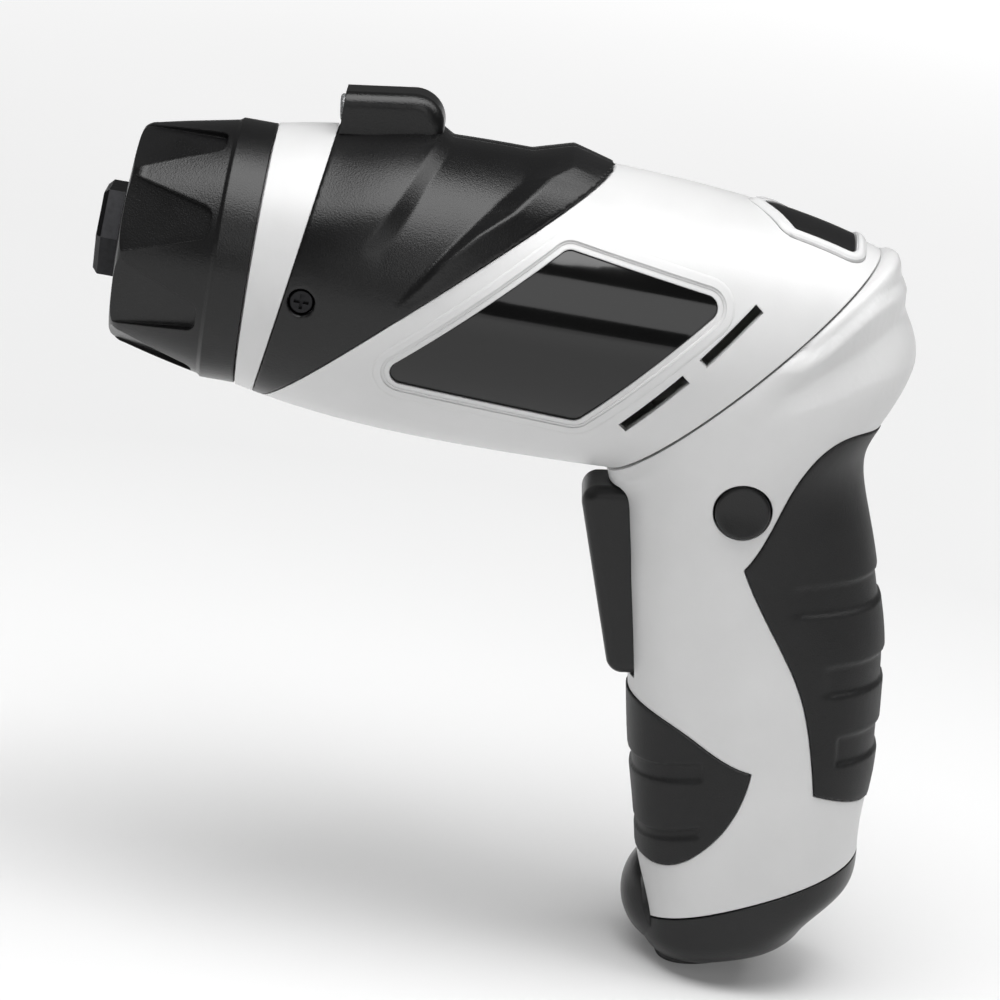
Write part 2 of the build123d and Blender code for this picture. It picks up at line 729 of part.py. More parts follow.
with BuildPart() as sleeve_screws:
    add(
        cross_bar(
            SLEEVE_SCREW_HEAD_RADIUS, sleeve_screw_place, sleeve_screw_seat, sleeve_screw_seat + SCREW_HEAD
        )
    )
    chamfer(faces().sort_by(Axis.Y)[-1].edges(), length=SCREW_CHAMFER)
    add(
        cross_bar(
            SLEEVE_SCREW_RADIUS, sleeve_screw_place, sleeve_screw_seat - SLEEVE_SCREW_REACH, sleeve_screw_seat
        )
    )
    with BuildSketch(Plane.XZ.offset(-sleeve_screw_seat - SCREW_HEAD)):
        with Locations(sleeve_screw_place):
            Rectangle(CROSS_LENGTH, CROSS_WIDTH)
            Rectangle(CROSS_WIDTH, CROSS_LENGTH)
    extrude(amount=CROSS_DEPTH, mode=Mode.SUBTRACT)
    mirror(about=Plane.XZ)

export(sleeve_left.part, "sleeve_left")
export(sleeve_right.part, "sleeve_right")
export(sleeve_screws.part, "sleeve_screws")

# Black panels sunk into both sides
with BuildPart() as panel_left:
    add(panel_column(0))
    add(head_form(PANEL_SINK, HEAD_FRONT_BACK), mode=Mode.INTERSECT)
    add(head_form(PANEL_SINK + PANEL_SHEET, HEAD_FRONT_BACK), mode=Mode.SUBTRACT)

with BuildPart() as panel_right:
    mirror(panel_left.part, about=Plane.XZ)

export(panel_left.part, "panel_left")
export(panel_right.part, "panel_right")

# Screws that close the head, driven in from the right
with BuildPart() as head_screws:
    for place in HEAD_SCREWS:
        add(cross_bar(SCREW_RADIUS, side(*place), -HEAD_SCREW_SEAT, SCREW_REACH - SCREW_TIP_GAP))
        add(cross_bar(SCREW_HEAD_RADIUS, side(*place), -HEAD_SCREW_SEAT - SCREW_HEAD, -HEAD_SCREW_SEAT))
        with BuildSketch(Plane.XZ.offset(HEAD_SCREW_SEAT + SCREW_HEAD)):
            with Locations(side(*place)):
                Rectangle(CROSS_LENGTH, CROSS_WIDTH)
                Rectangle(CROSS_WIDTH, CROSS_LENGTH)
        extrude(amount=-CROSS_DEPTH, mode=Mode.SUBTRACT)

export(head_screws.part, "head_screws")

# Work light on top of the sleeve
light_turn = math.radians(LIGHT_TILT)
light_rear_up = LIGHT_TOP_UP + LIGHT_LENGTH * math.tan(light_turn)
light_rear_back = LIGHT_FRONT_BACK + LIGHT_LENGTH
light_axis_up = LIGHT_TOP_UP - LIGHT_LENS_DROP
light_plane = Plane(
    origin=(-LIGHT_FRONT_BACK, 0, light_axis_up),
    x_dir=(0, 1, 0),
    z_dir=(math.cos(light_turn), 0, -math.sin(light_turn)),
)

with BuildPart() as light_housing:
    with BuildSketch(Plane.XZ):
        with BuildLine():
            Polyline(
                side(LIGHT_FRONT_BACK, 0),
                side(LIGHT_FRONT_BACK, LIGHT_TOP_UP),
                side(light_rear_back, light_rear_up),
                side(light_rear_back, 0),
                close=True,
            )
        make_face()
    extrude(amount=LIGHT_HALF_WIDTH, both=True)
    fillet(edges().filter_by(Axis.Y).group_by(Axis.Z)[-1], radius=LIGHT_REAR_ROUND)
    top_edges = edges().filter_by(lambda edge: edge.center().Z > LIGHT_TOP_UP / 2)
    fillet(top_edges.filter_by(lambda edge: abs(edge.center().Y) > RUN_FIT), radius=LIGHT_SIDE_ROUND)
    add(head_form(-SEAT_FIT, HEAD_FRONT_BACK), mode=Mode.SUBTRACT)
    with BuildSketch(light_plane.offset(LENS_DEPTH)):
        Circle(LENS_RADIUS + SEAT_FIT)
    extrude(amount=-2 * LENS_DEPTH - DIODE_LENGTH, mode=Mode.SUBTRACT)

with BuildPart() as light_lens:
    with BuildSketch(light_plane.offset(-LENS_DEPTH)):
        Circle(LENS_RADIUS)
    extrude(amount=LENS_DEPTH + LENS_PROUD)
    fillet(faces().sort_by(Axis.X)[-1].edges(), radius=LENS_PROUD)

with BuildPart() as light_diode:
    with BuildSketch(light_plane.offset(-LENS_DEPTH - DIODE_LENGTH)):
        Circle(LENS_RADIUS)
    extrude(amount=DIODE_LENGTH - SEAT_FIT)

export(light_housing.part, "light_housing")
export(light_lens.part, "light_lens")
export(light_diode.part, "light_diode")

# Lock button for the twist
with BuildPart() as lock_button:
    add(lock_column(0, LOCK_DEPTH, LOCK_DEPTH))
    add(head_form(-LOCK_PROUD, HEAD_FRONT_BACK), mode=Mode.INTERSECT)
    split(bisect_by=seam_plane(-LOCK_SEAM_MARGIN), keep=Keep.BOTTOM)

with BuildPart() as lock_spring:
    add(
        coil(
            lock_plane(lock_shelf_depth - SEAT_FIT, LOCK_SPRING_PLACE),
            LOCK_SPRING_RADIUS,
            SPRING_WIRE_RADIUS,
            lock_spring_length - 2 * SEAT_FIT,
            SPRING_COILS,
        )
    )

export(lock_button.part, "lock_button")
export(lock_spring.part, "lock_spring")


# Gearbox housing with its nose tube, ring gear and spindle bushing
front_wall_rear_back = GEARBOX_FRONT_BACK + GEARBOX_FRONT_WALL
ball_centre_back = front_wall_rear_back - CLUTCH_BALL_RADIUS - SEAT_FIT
washer_rear_back = ball_centre_back - CLUTCH_BALL_RADIUS - SEAT_FIT
washer_front_back = washer_rear_back - CLUTCH_WASHER
clutch_orbit = (nose_radius + NUT_RADIUS) / 2
planet_turns = [90 + 360 * number / PLANETS for number in range(PLANETS)]

with BuildPart() as gearbox_housing:
    add(round_bar(gearbox_radius, GEARBOX_FRONT_BACK, plate_back))
    add(round_bar(ring_outer_radius + SEAT_FIT, front_wall_rear_back, plate_back), mode=Mode.SUBTRACT)
    add(round_bar(nose_radius, NOSE_FRONT_BACK, GEARBOX_FRONT_BACK))
    add(round_bar(bushing_radius + SEAT_FIT, NOSE_FRONT_BACK, front_wall_rear_back), mode=Mode.SUBTRACT)
    with BuildSketch(station(front_wall_rear_back)):
        with PolarLocations(clutch_orbit, CLUTCH_BALLS):
            Circle(CLUTCH_BALL_RADIUS + SEAT_FIT)
    extrude(amount=GEARBOX_FRONT_WALL, mode=Mode.SUBTRACT)

with BuildPart() as ring_gear:
    add(round_bar(ring_outer_radius, front_wall_rear_back, plate_back - SEAT_FIT))
    add(toothed_bar(RING_TEETH, True, planet_turns[0], front_wall_rear_back, plate_back), mode=Mode.SUBTRACT)

with BuildPart() as spindle_bushing:
    add(round_bar(bushing_radius, NOSE_FRONT_BACK, front_wall_rear_back))
    add(round_bar(SPINDLE_RADIUS + RUN_FIT, NOSE_FRONT_BACK, front_wall_rear_back), mode=Mode.SUBTRACT)

export(gearbox_housing.part, "gearbox_housing")
export(ring_gear.part, "ring_gear")
export(spindle_bushing.part, "spindle_bushing")

# Bit holder with its magnet, and the output spindle behind it
with BuildPart() as bit_holder:
    with BuildSketch(station(TIP_LENGTH)):
        RegularPolygon(TIP_FLATS / 2, 6, major_radius=False)
    extrude(amount=TIP_LENGTH)
    chamfer(faces().sort_by(Axis.X)[-1].edges(), length=TIP_CHAMFER)
    add(round_bar(SPINDLE_RADIUS, TIP_LENGTH, HOLDER_LENGTH))
    with BuildSketch(station(SOCKET_DEPTH)):
        RegularPolygon(SOCKET_FLATS / 2, 6, major_radius=False)
    extrude(amount=SOCKET_DEPTH, mode=Mode.SUBTRACT)
    add(
        round_bar(MAGNET_RADIUS + SEAT_FIT, SOCKET_DEPTH, SOCKET_DEPTH + MAGNET_THICKNESS),
        mode=Mode.SUBTRACT
    )

with BuildPart() as bit_magnet:
    add(round_bar(MAGNET_RADIUS, SOCKET_DEPTH, SOCKET_DEPTH + MAGNET_THICKNESS))

with BuildPart() as output_spindle:
    add(round_bar(SPINDLE_RADIUS, HOLDER_LENGTH, carrier_two_back))
    add(round_bar(CARRIER_RADIUS, carrier_two_back, carrier_two_back + CARRIER_THICKNESS))
    with BuildSketch(station(gears_two_back + GEAR_WIDTH)):
        with PolarLocations(planet_orbit, PLANETS, start_angle=planet_turns[0]):
            Circle(PLANET_PIN_RADIUS)
    extrude(amount=GEAR_WIDTH + GEAR_SIDE_GAP)

export(bit_holder.part, "bit_holder")
export(bit_magnet.part, "bit_magnet")
export(output_spindle.part, "output_spindle")

# First stage carrier with the second stage's sun gear in front
with BuildPart() as stage_carrier:
    add(toothed_bar(SUN_TEETH, False, planet_turns[0], gears_two_back, carrier_one_back))
    add(round_bar(CARRIER_RADIUS, carrier_one_back, carrier_one_back + CARRIER_THICKNESS))
    with BuildSketch(station(gears_one_back + GEAR_WIDTH)):
        with PolarLocations(planet_orbit, PLANETS, start_angle=planet_turns[0]):
            Circle(PLANET_PIN_RADIUS)
    extrude(amount=GEAR_WIDTH + GEAR_SIDE_GAP)

export(stage_carrier.part, "stage_carrier")

# Planet gears of both stages, with a gap between teeth facing the sun gear and a gap facing the ring
for stage, gears_back in (("one", gears_one_back), ("two", gears_two_back)):
    for number, turn in enumerate(planet_turns):
        centre_y = planet_orbit * math.cos(math.radians(turn))
        centre_z = planet_orbit * math.sin(math.radians(turn))
        with BuildPart() as planet_gear:
            gear_centre = (-gears_back - GEAR_WIDTH, centre_y, centre_z)
            with BuildSketch(Plane(origin=gear_centre, x_dir=(0, 1, 0), z_dir=(1, 0, 0))):
                with BuildLine():
                    Polyline(*tooth_outline(PLANET_TEETH, False, turn + 180 / PLANET_TEETH), close=True)
                make_face()
                Circle(PLANET_PIN_RADIUS + RUN_FIT, mode=Mode.SUBTRACT)
            extrude(amount=GEAR_WIDTH)
        export(planet_gear.part, f"planet_{stage}_{number + 1}")

# Motor
with BuildPart() as motor_plate:
    add(round_bar(gearbox_radius, plate_back, motor_back))
    add(round_bar(MOTOR_NECK_RADIUS + SEAT_FIT, plate_back, motor_back), mode=Mode.SUBTRACT)

with BuildPart() as motor_can:
    add(round_bar(MOTOR_RADIUS, motor_back, motor_end_back))
    add(
        round_bar(MOTOR_RADIUS - MOTOR_CAN_WALL, motor_back + MOTOR_FRONT_WALL, motor_end_back),
        mode=Mode.SUBTRACT
    )
    add(round_bar(MOTOR_NECK_RADIUS, motor_back - MOTOR_NECK, motor_back))
    add(round_bar(MOTOR_SHAFT_RADIUS + RUN_FIT, plate_back, motor_end_back), mode=Mode.SUBTRACT)

with BuildPart() as motor_endbell:
    add(round_bar(MOTOR_RADIUS, motor_end_back, motor_end_back + ENDBELL_LENGTH))
    add(
        round_bar(MOTOR_SHAFT_RADIUS + RUN_FIT, motor_end_back, motor_end_back + ENDBELL_LENGTH),
        mode=Mode.SUBTRACT
    )
    with BuildSketch(station(motor_end_back + ENDBELL_LENGTH + TERMINAL_LENGTH)):
        with GridLocations(0, MOTOR_RADIUS, 1, 2):
            Rectangle(TERMINAL_WIDTH, TERMINAL_SHEET)
    extrude(amount=TERMINAL_LENGTH)

armature_back = (motor_back + MOTOR_FRONT_WALL + motor_end_back - ARMATURE_LENGTH) / 2

with BuildPart() as motor_armature:
    add(round_bar(ARMATURE_RADIUS, armature_back, armature_back + ARMATURE_LENGTH))
    with BuildSketch(station(armature_back + ARMATURE_LENGTH)):
        with PolarLocations(ARMATURE_RADIUS, ARMATURE_SLOTS):
            Rectangle(ARMATURE_RADIUS, ARMATURE_SLOT_WIDTH)
    extrude(amount=ARMATURE_LENGTH, mode=Mode.SUBTRACT)
    add(round_bar(MOTOR_SHAFT_RADIUS, gears_one_back + GEAR_WIDTH, motor_end_back + ENDBELL_LENGTH))

with BuildPart() as motor_pinion:
    add(toothed_bar(SUN_TEETH, False, planet_turns[0], gears_one_back, gears_one_back + GEAR_WIDTH))

export(motor_plate.part, "motor_plate")
export(motor_can.part, "motor_can")
export(motor_endbell.part, "motor_endbell")
export(motor_armature.part, "motor_armature")
export(motor_pinion.part, "motor_pinion")

# Torque collar, clutch nut, spring, washer and balls
collar_rear_back = HEAD_FRONT_BACK - BODY_GAP
collar_bore_back = HEAD_FRONT_BACK - SPIGOT_LENGTH - BODY_GAP
collar_hole = tip_corner_radius + BODY_GAP
collar_band_back = COLLAR_CONE_BACK + COLLAR_BAND_STEP
cone_slope = (COLLAR_CONE_RADIUS - COLLAR_NOSE_RADIUS) / (COLLAR_CONE_BACK - COLLAR_NOSE_BACK)
cone_turn = math.atan(cone_slope)
nut_reach = NUT_RADIUS + NUT_KEY_REACH

with BuildPart() as scallop:
    scallop_floor = Plane(
        origin=(-COLLAR_NOSE_BACK, 0, COLLAR_NOSE_RADIUS - SCALLOP_DEPTH),
        x_dir=(-math.cos(cone_turn), 0, math.sin(cone_turn)),
        z_dir=(math.sin(cone_turn), 0, math.cos(cone_turn)),
    )
    front_place = COLLAR_FRONT_BACK - COLLAR_NOSE_BACK - SCALLOP_OVERRUN
    tip_place = SCALLOP_TIP_BACK - COLLAR_NOSE_BACK
    with BuildSketch(scallop_floor):
        with BuildLine():
            Polyline(
                (front_place, SCALLOP_FRONT_WIDTH / 2),
                (front_place, -SCALLOP_FRONT_WIDTH / 2),
                (tip_place, -SCALLOP_TIP_WIDTH / 2),
                (tip_place, SCALLOP_TIP_WIDTH / 2),
                close=True,
            )
        make_face()
        fillet(vertices().sort_by(Axis.X)[-2:], radius=SCALLOP_TIP_ROUND)
    extrude(amount=2 * SCALLOP_DEPTH + COLLAR_BAND_STEP)

with BuildPart() as torque_collar:
    with BuildSketch(Plane.XZ):
        with BuildLine():
            face = Line(
                side(COLLAR_FRONT_BACK, collar_hole),
                side(COLLAR_FRONT_BACK + COLLAR_FACE_DISH, COLLAR_FACE_RADIUS)
            )
            nose = Bezier(
                face @ 1,
                side(COLLAR_FRONT_BACK + COLLAR_FACE_DISH, COLLAR_NOSE_RADIUS - cone_slope),
                side(COLLAR_NOSE_BACK, COLLAR_NOSE_RADIUS),
            )
            Polyline(
                nose @ 1,
                side(COLLAR_CONE_BACK, COLLAR_CONE_RADIUS),
                side(collar_band_back, COLLAR_BAND_RADIUS),
                side(collar_rear_back, COLLAR_BAND_RADIUS),
                side(collar_rear_back, SPIGOT_RADIUS + RUN_FIT),
                side(collar_bore_back, SPIGOT_RADIUS + RUN_FIT),
                side(collar_bore_back, COLLAR_CAVITY_RADIUS),
                side(COLLAR_FRONT_BACK + COLLAR_FRONT_WALL, COLLAR_CAVITY_RADIUS),
                side(COLLAR_FRONT_BACK + COLLAR_FRONT_WALL, collar_hole),
                face @ 0,
            )
        make_face()
    revolve(axis=Axis.X)
    for number in range(SCALLOPS):
        add(scallop.part.rotate(Axis.X, 360 * (number + 0.5) / SCALLOPS), mode=Mode.SUBTRACT)
    with BuildSketch(station(collar_bore_back)):
        with PolarLocations(nut_reach / 2, NUT_KEYS):
            Rectangle(nut_reach + 2 * BODY_GAP, NUT_KEY_WIDTH + 2 * BODY_GAP)
    extrude(amount=collar_bore_back - NUT_BACK + BODY_GAP, mode=Mode.SUBTRACT)

with BuildPart() as clutch_nut:
    add(round_bar(NUT_RADIUS, NUT_BACK, NUT_BACK + NUT_LENGTH))
    with BuildSketch(station(NUT_BACK + NUT_LENGTH)):
        with PolarLocations(nut_reach / 2, NUT_KEYS):
            Rectangle(nut_reach, NUT_KEY_WIDTH)
    extrude(amount=NUT_LENGTH)
    add(round_bar(nose_radius + RUN_FIT, NUT_BACK, NUT_BACK + NUT_LENGTH), mode=Mode.SUBTRACT)

with BuildPart() as clutch_spring:
    add(
        coil(
            station(washer_front_back - SEAT_FIT),
            clutch_orbit,
            CLUTCH_WIRE_RADIUS,
            washer_front_back - NUT_BACK - NUT_LENGTH - 2 * SEAT_FIT,
            CLUTCH_COILS,
        )
    )

with BuildPart() as clutch_washer:
    add(round_bar(NUT_RADIUS, washer_front_back, washer_rear_back))
    add(round_bar(nose_radius + SEAT_FIT, washer_front_back, washer_rear_back), mode=Mode.SUBTRACT)

with BuildPart() as clutch_balls:
    with Locations(station(ball_centre_back)):
        with PolarLocations(clutch_orbit, CLUTCH_BALLS):
            Sphere(CLUTCH_BALL_RADIUS)

export(torque_collar.part, "torque_collar")
export(clutch_nut.part, "clutch_nut")
export(clutch_spring.part, "clutch_spring")
export(clutch_washer.part, "clutch_washer")
export(clutch_balls.part, "clutch_balls")

# Swivel hub, fixed in the handle and turning in the head's rear wall
handle_face_depth = SEAM_GAP / 2
handle_floor_depth = handle_face_depth + BULKHEAD
hub_flange_depth = handle_floor_depth + SEAT_FIT

with BuildPart() as swivel_hub:
    with BuildSketch(seam_plane(hub_lip_depth - HUB_LIP)):
        Circle(HUB_LIP_RADIUS)
    extrude(amount=HUB_LIP)
    with BuildSketch(seam_plane(hub_lip_depth)):
        Circle(HUB_RADIUS)
    extrude(amount=hub_flange_depth - hub_lip_depth)
    with BuildSketch(seam_plane(hub_flange_depth)):
        Circle(HUB_LIP_RADIUS)
    extrude(amount=HUB_LIP)
    with BuildSketch(seam_plane(hub_lip_depth - HUB_LIP)):
        Circle(HUB_BORE)
    extrude(amount=hub_flange_depth - hub_lip_depth + 2 * HUB_LIP, mode=Mode.SUBTRACT)

export(swivel_hub.part, "swivel_hub")


def grip_zone(upper, lower, end_slope, outward, shrink):
    """A soft grip's side view between two edges that meet, smaller by a shrink, through both sides."""
    tip = (upper[-1][0], upper[-1][1] + 2 * outward * shrink)
    high = [(drop + shrink, rear + outward * shrink) for drop, rear in upper[:-1]] + [tip]
    low = [tip] + [(drop - shrink, rear + outward * shrink) for drop, rear in lower[1:]]
    far_low = (low[-1][0] + end_slope * (GRIP_REACH - outward * low[-1][1]), outward * GRIP_REACH)
    far_high = (high[0][0], outward * GRIP_REACH)
    with BuildPart() as zone:
        with BuildSketch(Plane.XZ):
            with BuildLine():
                Spline(*[grip_side(*point) for point in high])
                Spline(*[grip_side(*point) for point in low])
                Polyline(*[grip_side(*point) for point in (low[-1], far_low, far_high, high[0])])
            make_face()
        extrude(amount=HEAD_REACH, both=True)
    return zone.part


def grip_block(high_drop, low_drop, front, rear, half_width):
    """A block of the handle between two drops and two places across it."""
    corners = ((high_drop, front), (low_drop, front), (low_drop, rear), (high_drop, rear))
    return side_block([grip_side(*corner) for corner in corners], half_width)


def latch_column(grow):
    """The latch's arched outline, larger by a growth, from before the handle to behind its front wall."""
    arch_drop = LATCH_TOP_DROP + LATCH_HALF_WIDTH
    length = handle_end_drop + CAP_FLOOR - arch_drop
    face = Plane(origin=grip_point(arch_drop, -GRIP_REACH), x_dir=(0, 1, 0), z_dir=rear_direction)
    with BuildPart() as column:
        with BuildSketch(face):
            Circle(LATCH_HALF_WIDTH + grow)
            with Locations((0, length / 2)):
                Rectangle(2 * (LATCH_HALF_WIDTH + grow), length)
        extrude(amount=GRIP_REACH - LATCH_REACH)
    return column.part


# Casing of the handle
handle_skin = handle_form(0, handle_face_depth)
handle_inside = handle_form(-HANDLE_WALL, handle_face_depth)
handle_core = handle_form(-HANDLE_WALL - CAP_PLUG_GAP, handle_face_depth)
grip_floor = handle_form(-GRIP_SKIN, handle_face_depth)
grip_crown = handle_form(GRIP_PROUD, handle_face_depth)
cap_plane = grip_plane(CAP_DROP, CAP_LEAN)
handle_end_drop = HANDLE_SECTIONS[-1][0]
button_place = grip_side(BUTTON_DROP, BUTTON_REAR)

with BuildPart() as handle_cavity:
    add(handle_inside)
    split(bisect_by=seam_plane(handle_floor_depth), keep=Keep.TOP)

with BuildPart() as handle_bosses:
    for place in HANDLE_SCREWS:
        add(cross_bar(BOSS_RADIUS, grip_side(*place), -HEAD_REACH, HEAD_REACH))
    add(grip_floor, mode=Mode.INTERSECT)

with BuildPart() as grip_recesses:
    add(grip_zone(REAR_GRIP_UPPER, REAR_GRIP_LOWER, REAR_GRIP_END_SLOPE, 1, 0))
    add(grip_zone(FRONT_GRIP_UPPER, FRONT_GRIP_LOWER, FRONT_GRIP_END_SLOPE, -1, 0))
    add(grip_floor, mode=Mode.SUBTRACT)

with BuildPart() as trigger_slot:
    add(
        grip_block(
            TRIGGER_TOP_DROP - BODY_GAP,
            TRIGGER_LOW_DROP + BODY_GAP,
            -GRIP_REACH,
            -TRIGGER_FLANGE_REACH,
            TRIGGER_HALF_WIDTH + BODY_GAP,
        )
    )

with BuildPart() as handle_casing:
    add(handle_skin)
    split(bisect_by=cap_plane, keep=Keep.BOTTOM)
    add(handle_cavity.part, mode=Mode.SUBTRACT)
    add(handle_bosses.part)
    add(grip_recesses.part, mode=Mode.SUBTRACT)
    add(trigger_slot.part, mode=Mode.SUBTRACT)
    add(latch_column(BODY_GAP), mode=Mode.SUBTRACT)
    add(cross_bar(BUTTON_RADIUS + BODY_GAP, button_place, -HEAD_REACH, HEAD_REACH), mode=Mode.SUBTRACT)
    with BuildSketch(seam_plane(-SEAM_GAP)):
        Circle(HUB_RADIUS + SEAT_FIT)
    extrude(amount=handle_floor_depth + 2 * SEAM_GAP, mode=Mode.SUBTRACT)

with BuildPart() as handle_shell_left:
    add(handle_casing.part)
    split(bisect_by=Plane.XZ, keep=Keep.BOTTOM)
    for place in HANDLE_SCREWS:
        add(cross_bar(SCREW_RADIUS + SEAT_FIT, grip_side(*place), 0, SCREW_REACH), mode=Mode.SUBTRACT)

with BuildPart() as handle_screw_holes:
    for place in HANDLE_SCREWS:
        add(cross_bar(SCREW_RADIUS + SEAT_FIT, grip_side(*place), -HEAD_REACH, 0))
        add(cross_bar(SCREW_HEAD_RADIUS + SEAT_FIT, grip_side(*place), -HEAD_REACH, -HEAD_SCREW_SEAT))

with BuildPart() as handle_shell_right:
    add(handle_casing.part)
    split(bisect_by=Plane.XZ, keep=Keep.TOP)
    add(handle_screw_holes.part, mode=Mode.SUBTRACT)

with BuildPart() as handle_screws:
    for place in HANDLE_SCREWS:
        spot = grip_side(*place)
        add(cross_bar(SCREW_RADIUS, spot, -HEAD_SCREW_SEAT, SCREW_REACH - SCREW_TIP_GAP))
        add(cross_bar(SCREW_HEAD_RADIUS, spot, -HEAD_SCREW_SEAT - SCREW_HEAD, -HEAD_SCREW_SEAT))
        with BuildSketch(Plane.XZ.offset(HEAD_SCREW_SEAT + SCREW_HEAD)):
            with Locations(spot):
                Rectangle(CROSS_LENGTH, CROSS_WIDTH)
                Rectangle(CROSS_WIDTH, CROSS_LENGTH)
        extrude(amount=-CROSS_DEPTH, mode=Mode.SUBTRACT)

export(handle_shell_left.part, "handle_shell_left")
export(handle_shell_right.part, "handle_shell_right")
export(handle_screws.part, "handle_screws")

# Soft grips round the back and the front of the handle
with BuildPart() as rear_grip:
    add(grip_zone(REAR_GRIP_UPPER, REAR_GRIP_LOWER, REAR_GRIP_END_SLOPE, 1, SEAT_FIT))
    add(grip_crown, mode=Mode.INTERSECT)
    add(grip_floor, mode=Mode.SUBTRACT)
    add(handle_screw_holes.part, mode=Mode.SUBTRACT)

with BuildPart() as front_grip:
    add(grip_zone(FRONT_GRIP_UPPER, FRONT_GRIP_LOWER, FRONT_GRIP_END_SLOPE, -1, SEAT_FIT))
    add(grip_crown, mode=Mode.INTERSECT)
    add(grip_floor, mode=Mode.SUBTRACT)
    add(handle_screw_holes.part, mode=Mode.SUBTRACT)

export(rear_grip.part, "rear_grip")
export(front_grip.part, "front_grip")

# Trigger, its spring and its switch
contacts_drop = CELL_TOP_DROP - SEAT_FIT - CONTACT_SHEET
contact_plate_drop = contacts_drop - SEAT_FIT - CONTACT_PLATE
switch_drop = contact_plate_drop - SEAT_FIT - SWITCH_HEIGHT
flange_rear = -TRIGGER_FLANGE_REACH + TRIGGER_FLANGE
switch_front = flange_rear + TRIGGER_TRAVEL + spring_solid + SPRING_SPARE
spring_drop = switch_drop + SWITCH_HEIGHT / 2

with BuildPart() as trigger_flange:
    add(
        grip_block(
            TRIGGER_TOP_DROP - TRIGGER_FLANGE_OVERLAP,
            TRIGGER_LOW_DROP + TRIGGER_FLANGE_OVERLAP,
            -TRIGGER_FLANGE_REACH,
            flange_rear,
            TRIGGER_HALF_WIDTH + TRIGGER_FLANGE_OVERLAP,
        )
    )
    add(handle_core, mode=Mode.INTERSECT)

with BuildPart() as trigger:
    with BuildSketch(Plane.XZ):
        with BuildLine():
            Polyline(
                grip_side(TRIGGER_TOP_DROP, -TRIGGER_TOP_REACH),
                grip_side(TRIGGER_LOW_DROP, -TRIGGER_LOW_REACH),
                grip_side(TRIGGER_LOW_DROP, -TRIGGER_FLANGE_REACH),
                grip_side(TRIGGER_TOP_DROP, -TRIGGER_FLANGE_REACH),
                close=True,
            )
        make_face()
        fillet(vertices().sort_by(Axis.X)[-2:], radius=TRIGGER_CORNER)
    extrude(amount=TRIGGER_HALF_WIDTH, both=True)
    shortest = TRIGGER_LOW_DROP - TRIGGER_TOP_DROP - 3 * TRIGGER_CORNER
    front_edges = edges().filter_by(lambda edge: edge.length > shortest)
    fillet(front_edges.group_by(Axis.X)[-1], radius=TRIGGER_ROUND)
    add(trigger_flange.part)

with BuildPart() as trigger_spring:
    add(
        coil(
            Plane(
                origin=grip_point(spring_drop, switch_front - SEAT_FIT), x_dir=(0, 1, 0), z_dir=-rear_direction
            ),
            TRIGGER_SPRING_RADIUS,
            SPRING_WIRE_RADIUS,
            switch_front - flange_rear - 2 * SEAT_FIT,
            SPRING_COILS,
        )
    )

with BuildPart() as trigger_switch:
    add(
        grip_block(
            switch_drop, switch_drop + SWITCH_HEIGHT,
            switch_front, switch_front + SWITCH_DEPTH,
            SWITCH_HALF_WIDTH
        )
    )

export(trigger.part, "trigger")
export(trigger_spring.part, "trigger_spring")
export(trigger_switch.part, "trigger_switch")

# Direction button, one rod through both sides
button_half = max(across for along, across in handle_outline(BUTTON_DROP, 0)[1]) + BUTTON_PROUD

with BuildPart() as direction_button:
    add(cross_bar(BUTTON_RADIUS, button_place, -button_half, button_half))
    fillet(edges().group_by(Axis.Y)[0] + edges().group_by(Axis.Y)[-1], radius=BUTTON_ROUND)
    with BuildSketch(Plane.XZ):
        with Locations(button_place):
            Circle(BUTTON_RADIUS + BODY_GAP)
            Circle(BUTTON_ROD_RADIUS, mode=Mode.SUBTRACT)
    extrude(amount=button_half - BUTTON_HEAD, both=True, mode=Mode.SUBTRACT)

export(direction_button.part, "direction_button")

# Battery: four cells between a contact plate above and the cap's contacts below
cell_spots = {
    "front_left": (CELL_REAR - CELL_PITCH / 2, CELL_PITCH / 2),
    "front_right": (CELL_REAR - CELL_PITCH / 2, -CELL_PITCH / 2),
    "rear_left": (CELL_REAR + CELL_PITCH / 2, CELL_PITCH / 2),
    "rear_right": (CELL_REAR + CELL_PITCH / 2, -CELL_PITCH / 2),
}
cell_end_drop = CELL_TOP_DROP + CELL_LENGTH

for spot, (rear, left) in cell_spots.items():
    nub_up = rear * left > CELL_REAR * left
    body_drop = CELL_TOP_DROP + (CELL_NUB if nub_up else 0)
    with BuildPart() as cell:
        with BuildSketch(grip_plane(body_drop, 0)):
            with Locations((rear, left)):
                Circle(CELL_RADIUS)
        extrude(amount=CELL_LENGTH - CELL_NUB)
        with BuildSketch(grip_plane(CELL_TOP_DROP if nub_up else cell_end_drop - CELL_NUB, 0)):
            with Locations((rear, left)):
                Circle(CELL_NUB_RADIUS)
        extrude(amount=CELL_NUB)
    export(cell.part, f"cell_{spot}")

with BuildPart() as contact_plate:
    add(handle_inside)
    add(
        grip_block(
            contact_plate_drop, contact_plate_drop + CONTACT_PLATE,
            -CONTACT_PLATE_REACH, GRIP_REACH,
            HEAD_REACH
        ),
        mode=Mode.INTERSECT,
    )

with BuildPart() as top_contacts:
    with BuildSketch(grip_plane(contacts_drop, 0)):
        with Locations((CELL_REAR - CELL_PITCH / 2, 0), (CELL_REAR + CELL_PITCH / 2, 0)):
            Rectangle(CONTACT_WIDTH, CELL_PITCH + CONTACT_WIDTH)
    extrude(amount=CONTACT_SHEET)

export(contact_plate.part, "contact_plate")
export(top_contacts.part, "top_contacts")

# Battery cap with its latch tongue and contacts
cap_contacts_drop = cell_end_drop + BODY_GAP
plug_drop = cap_contacts_drop + CONTACT_SHEET + SEAT_FIT

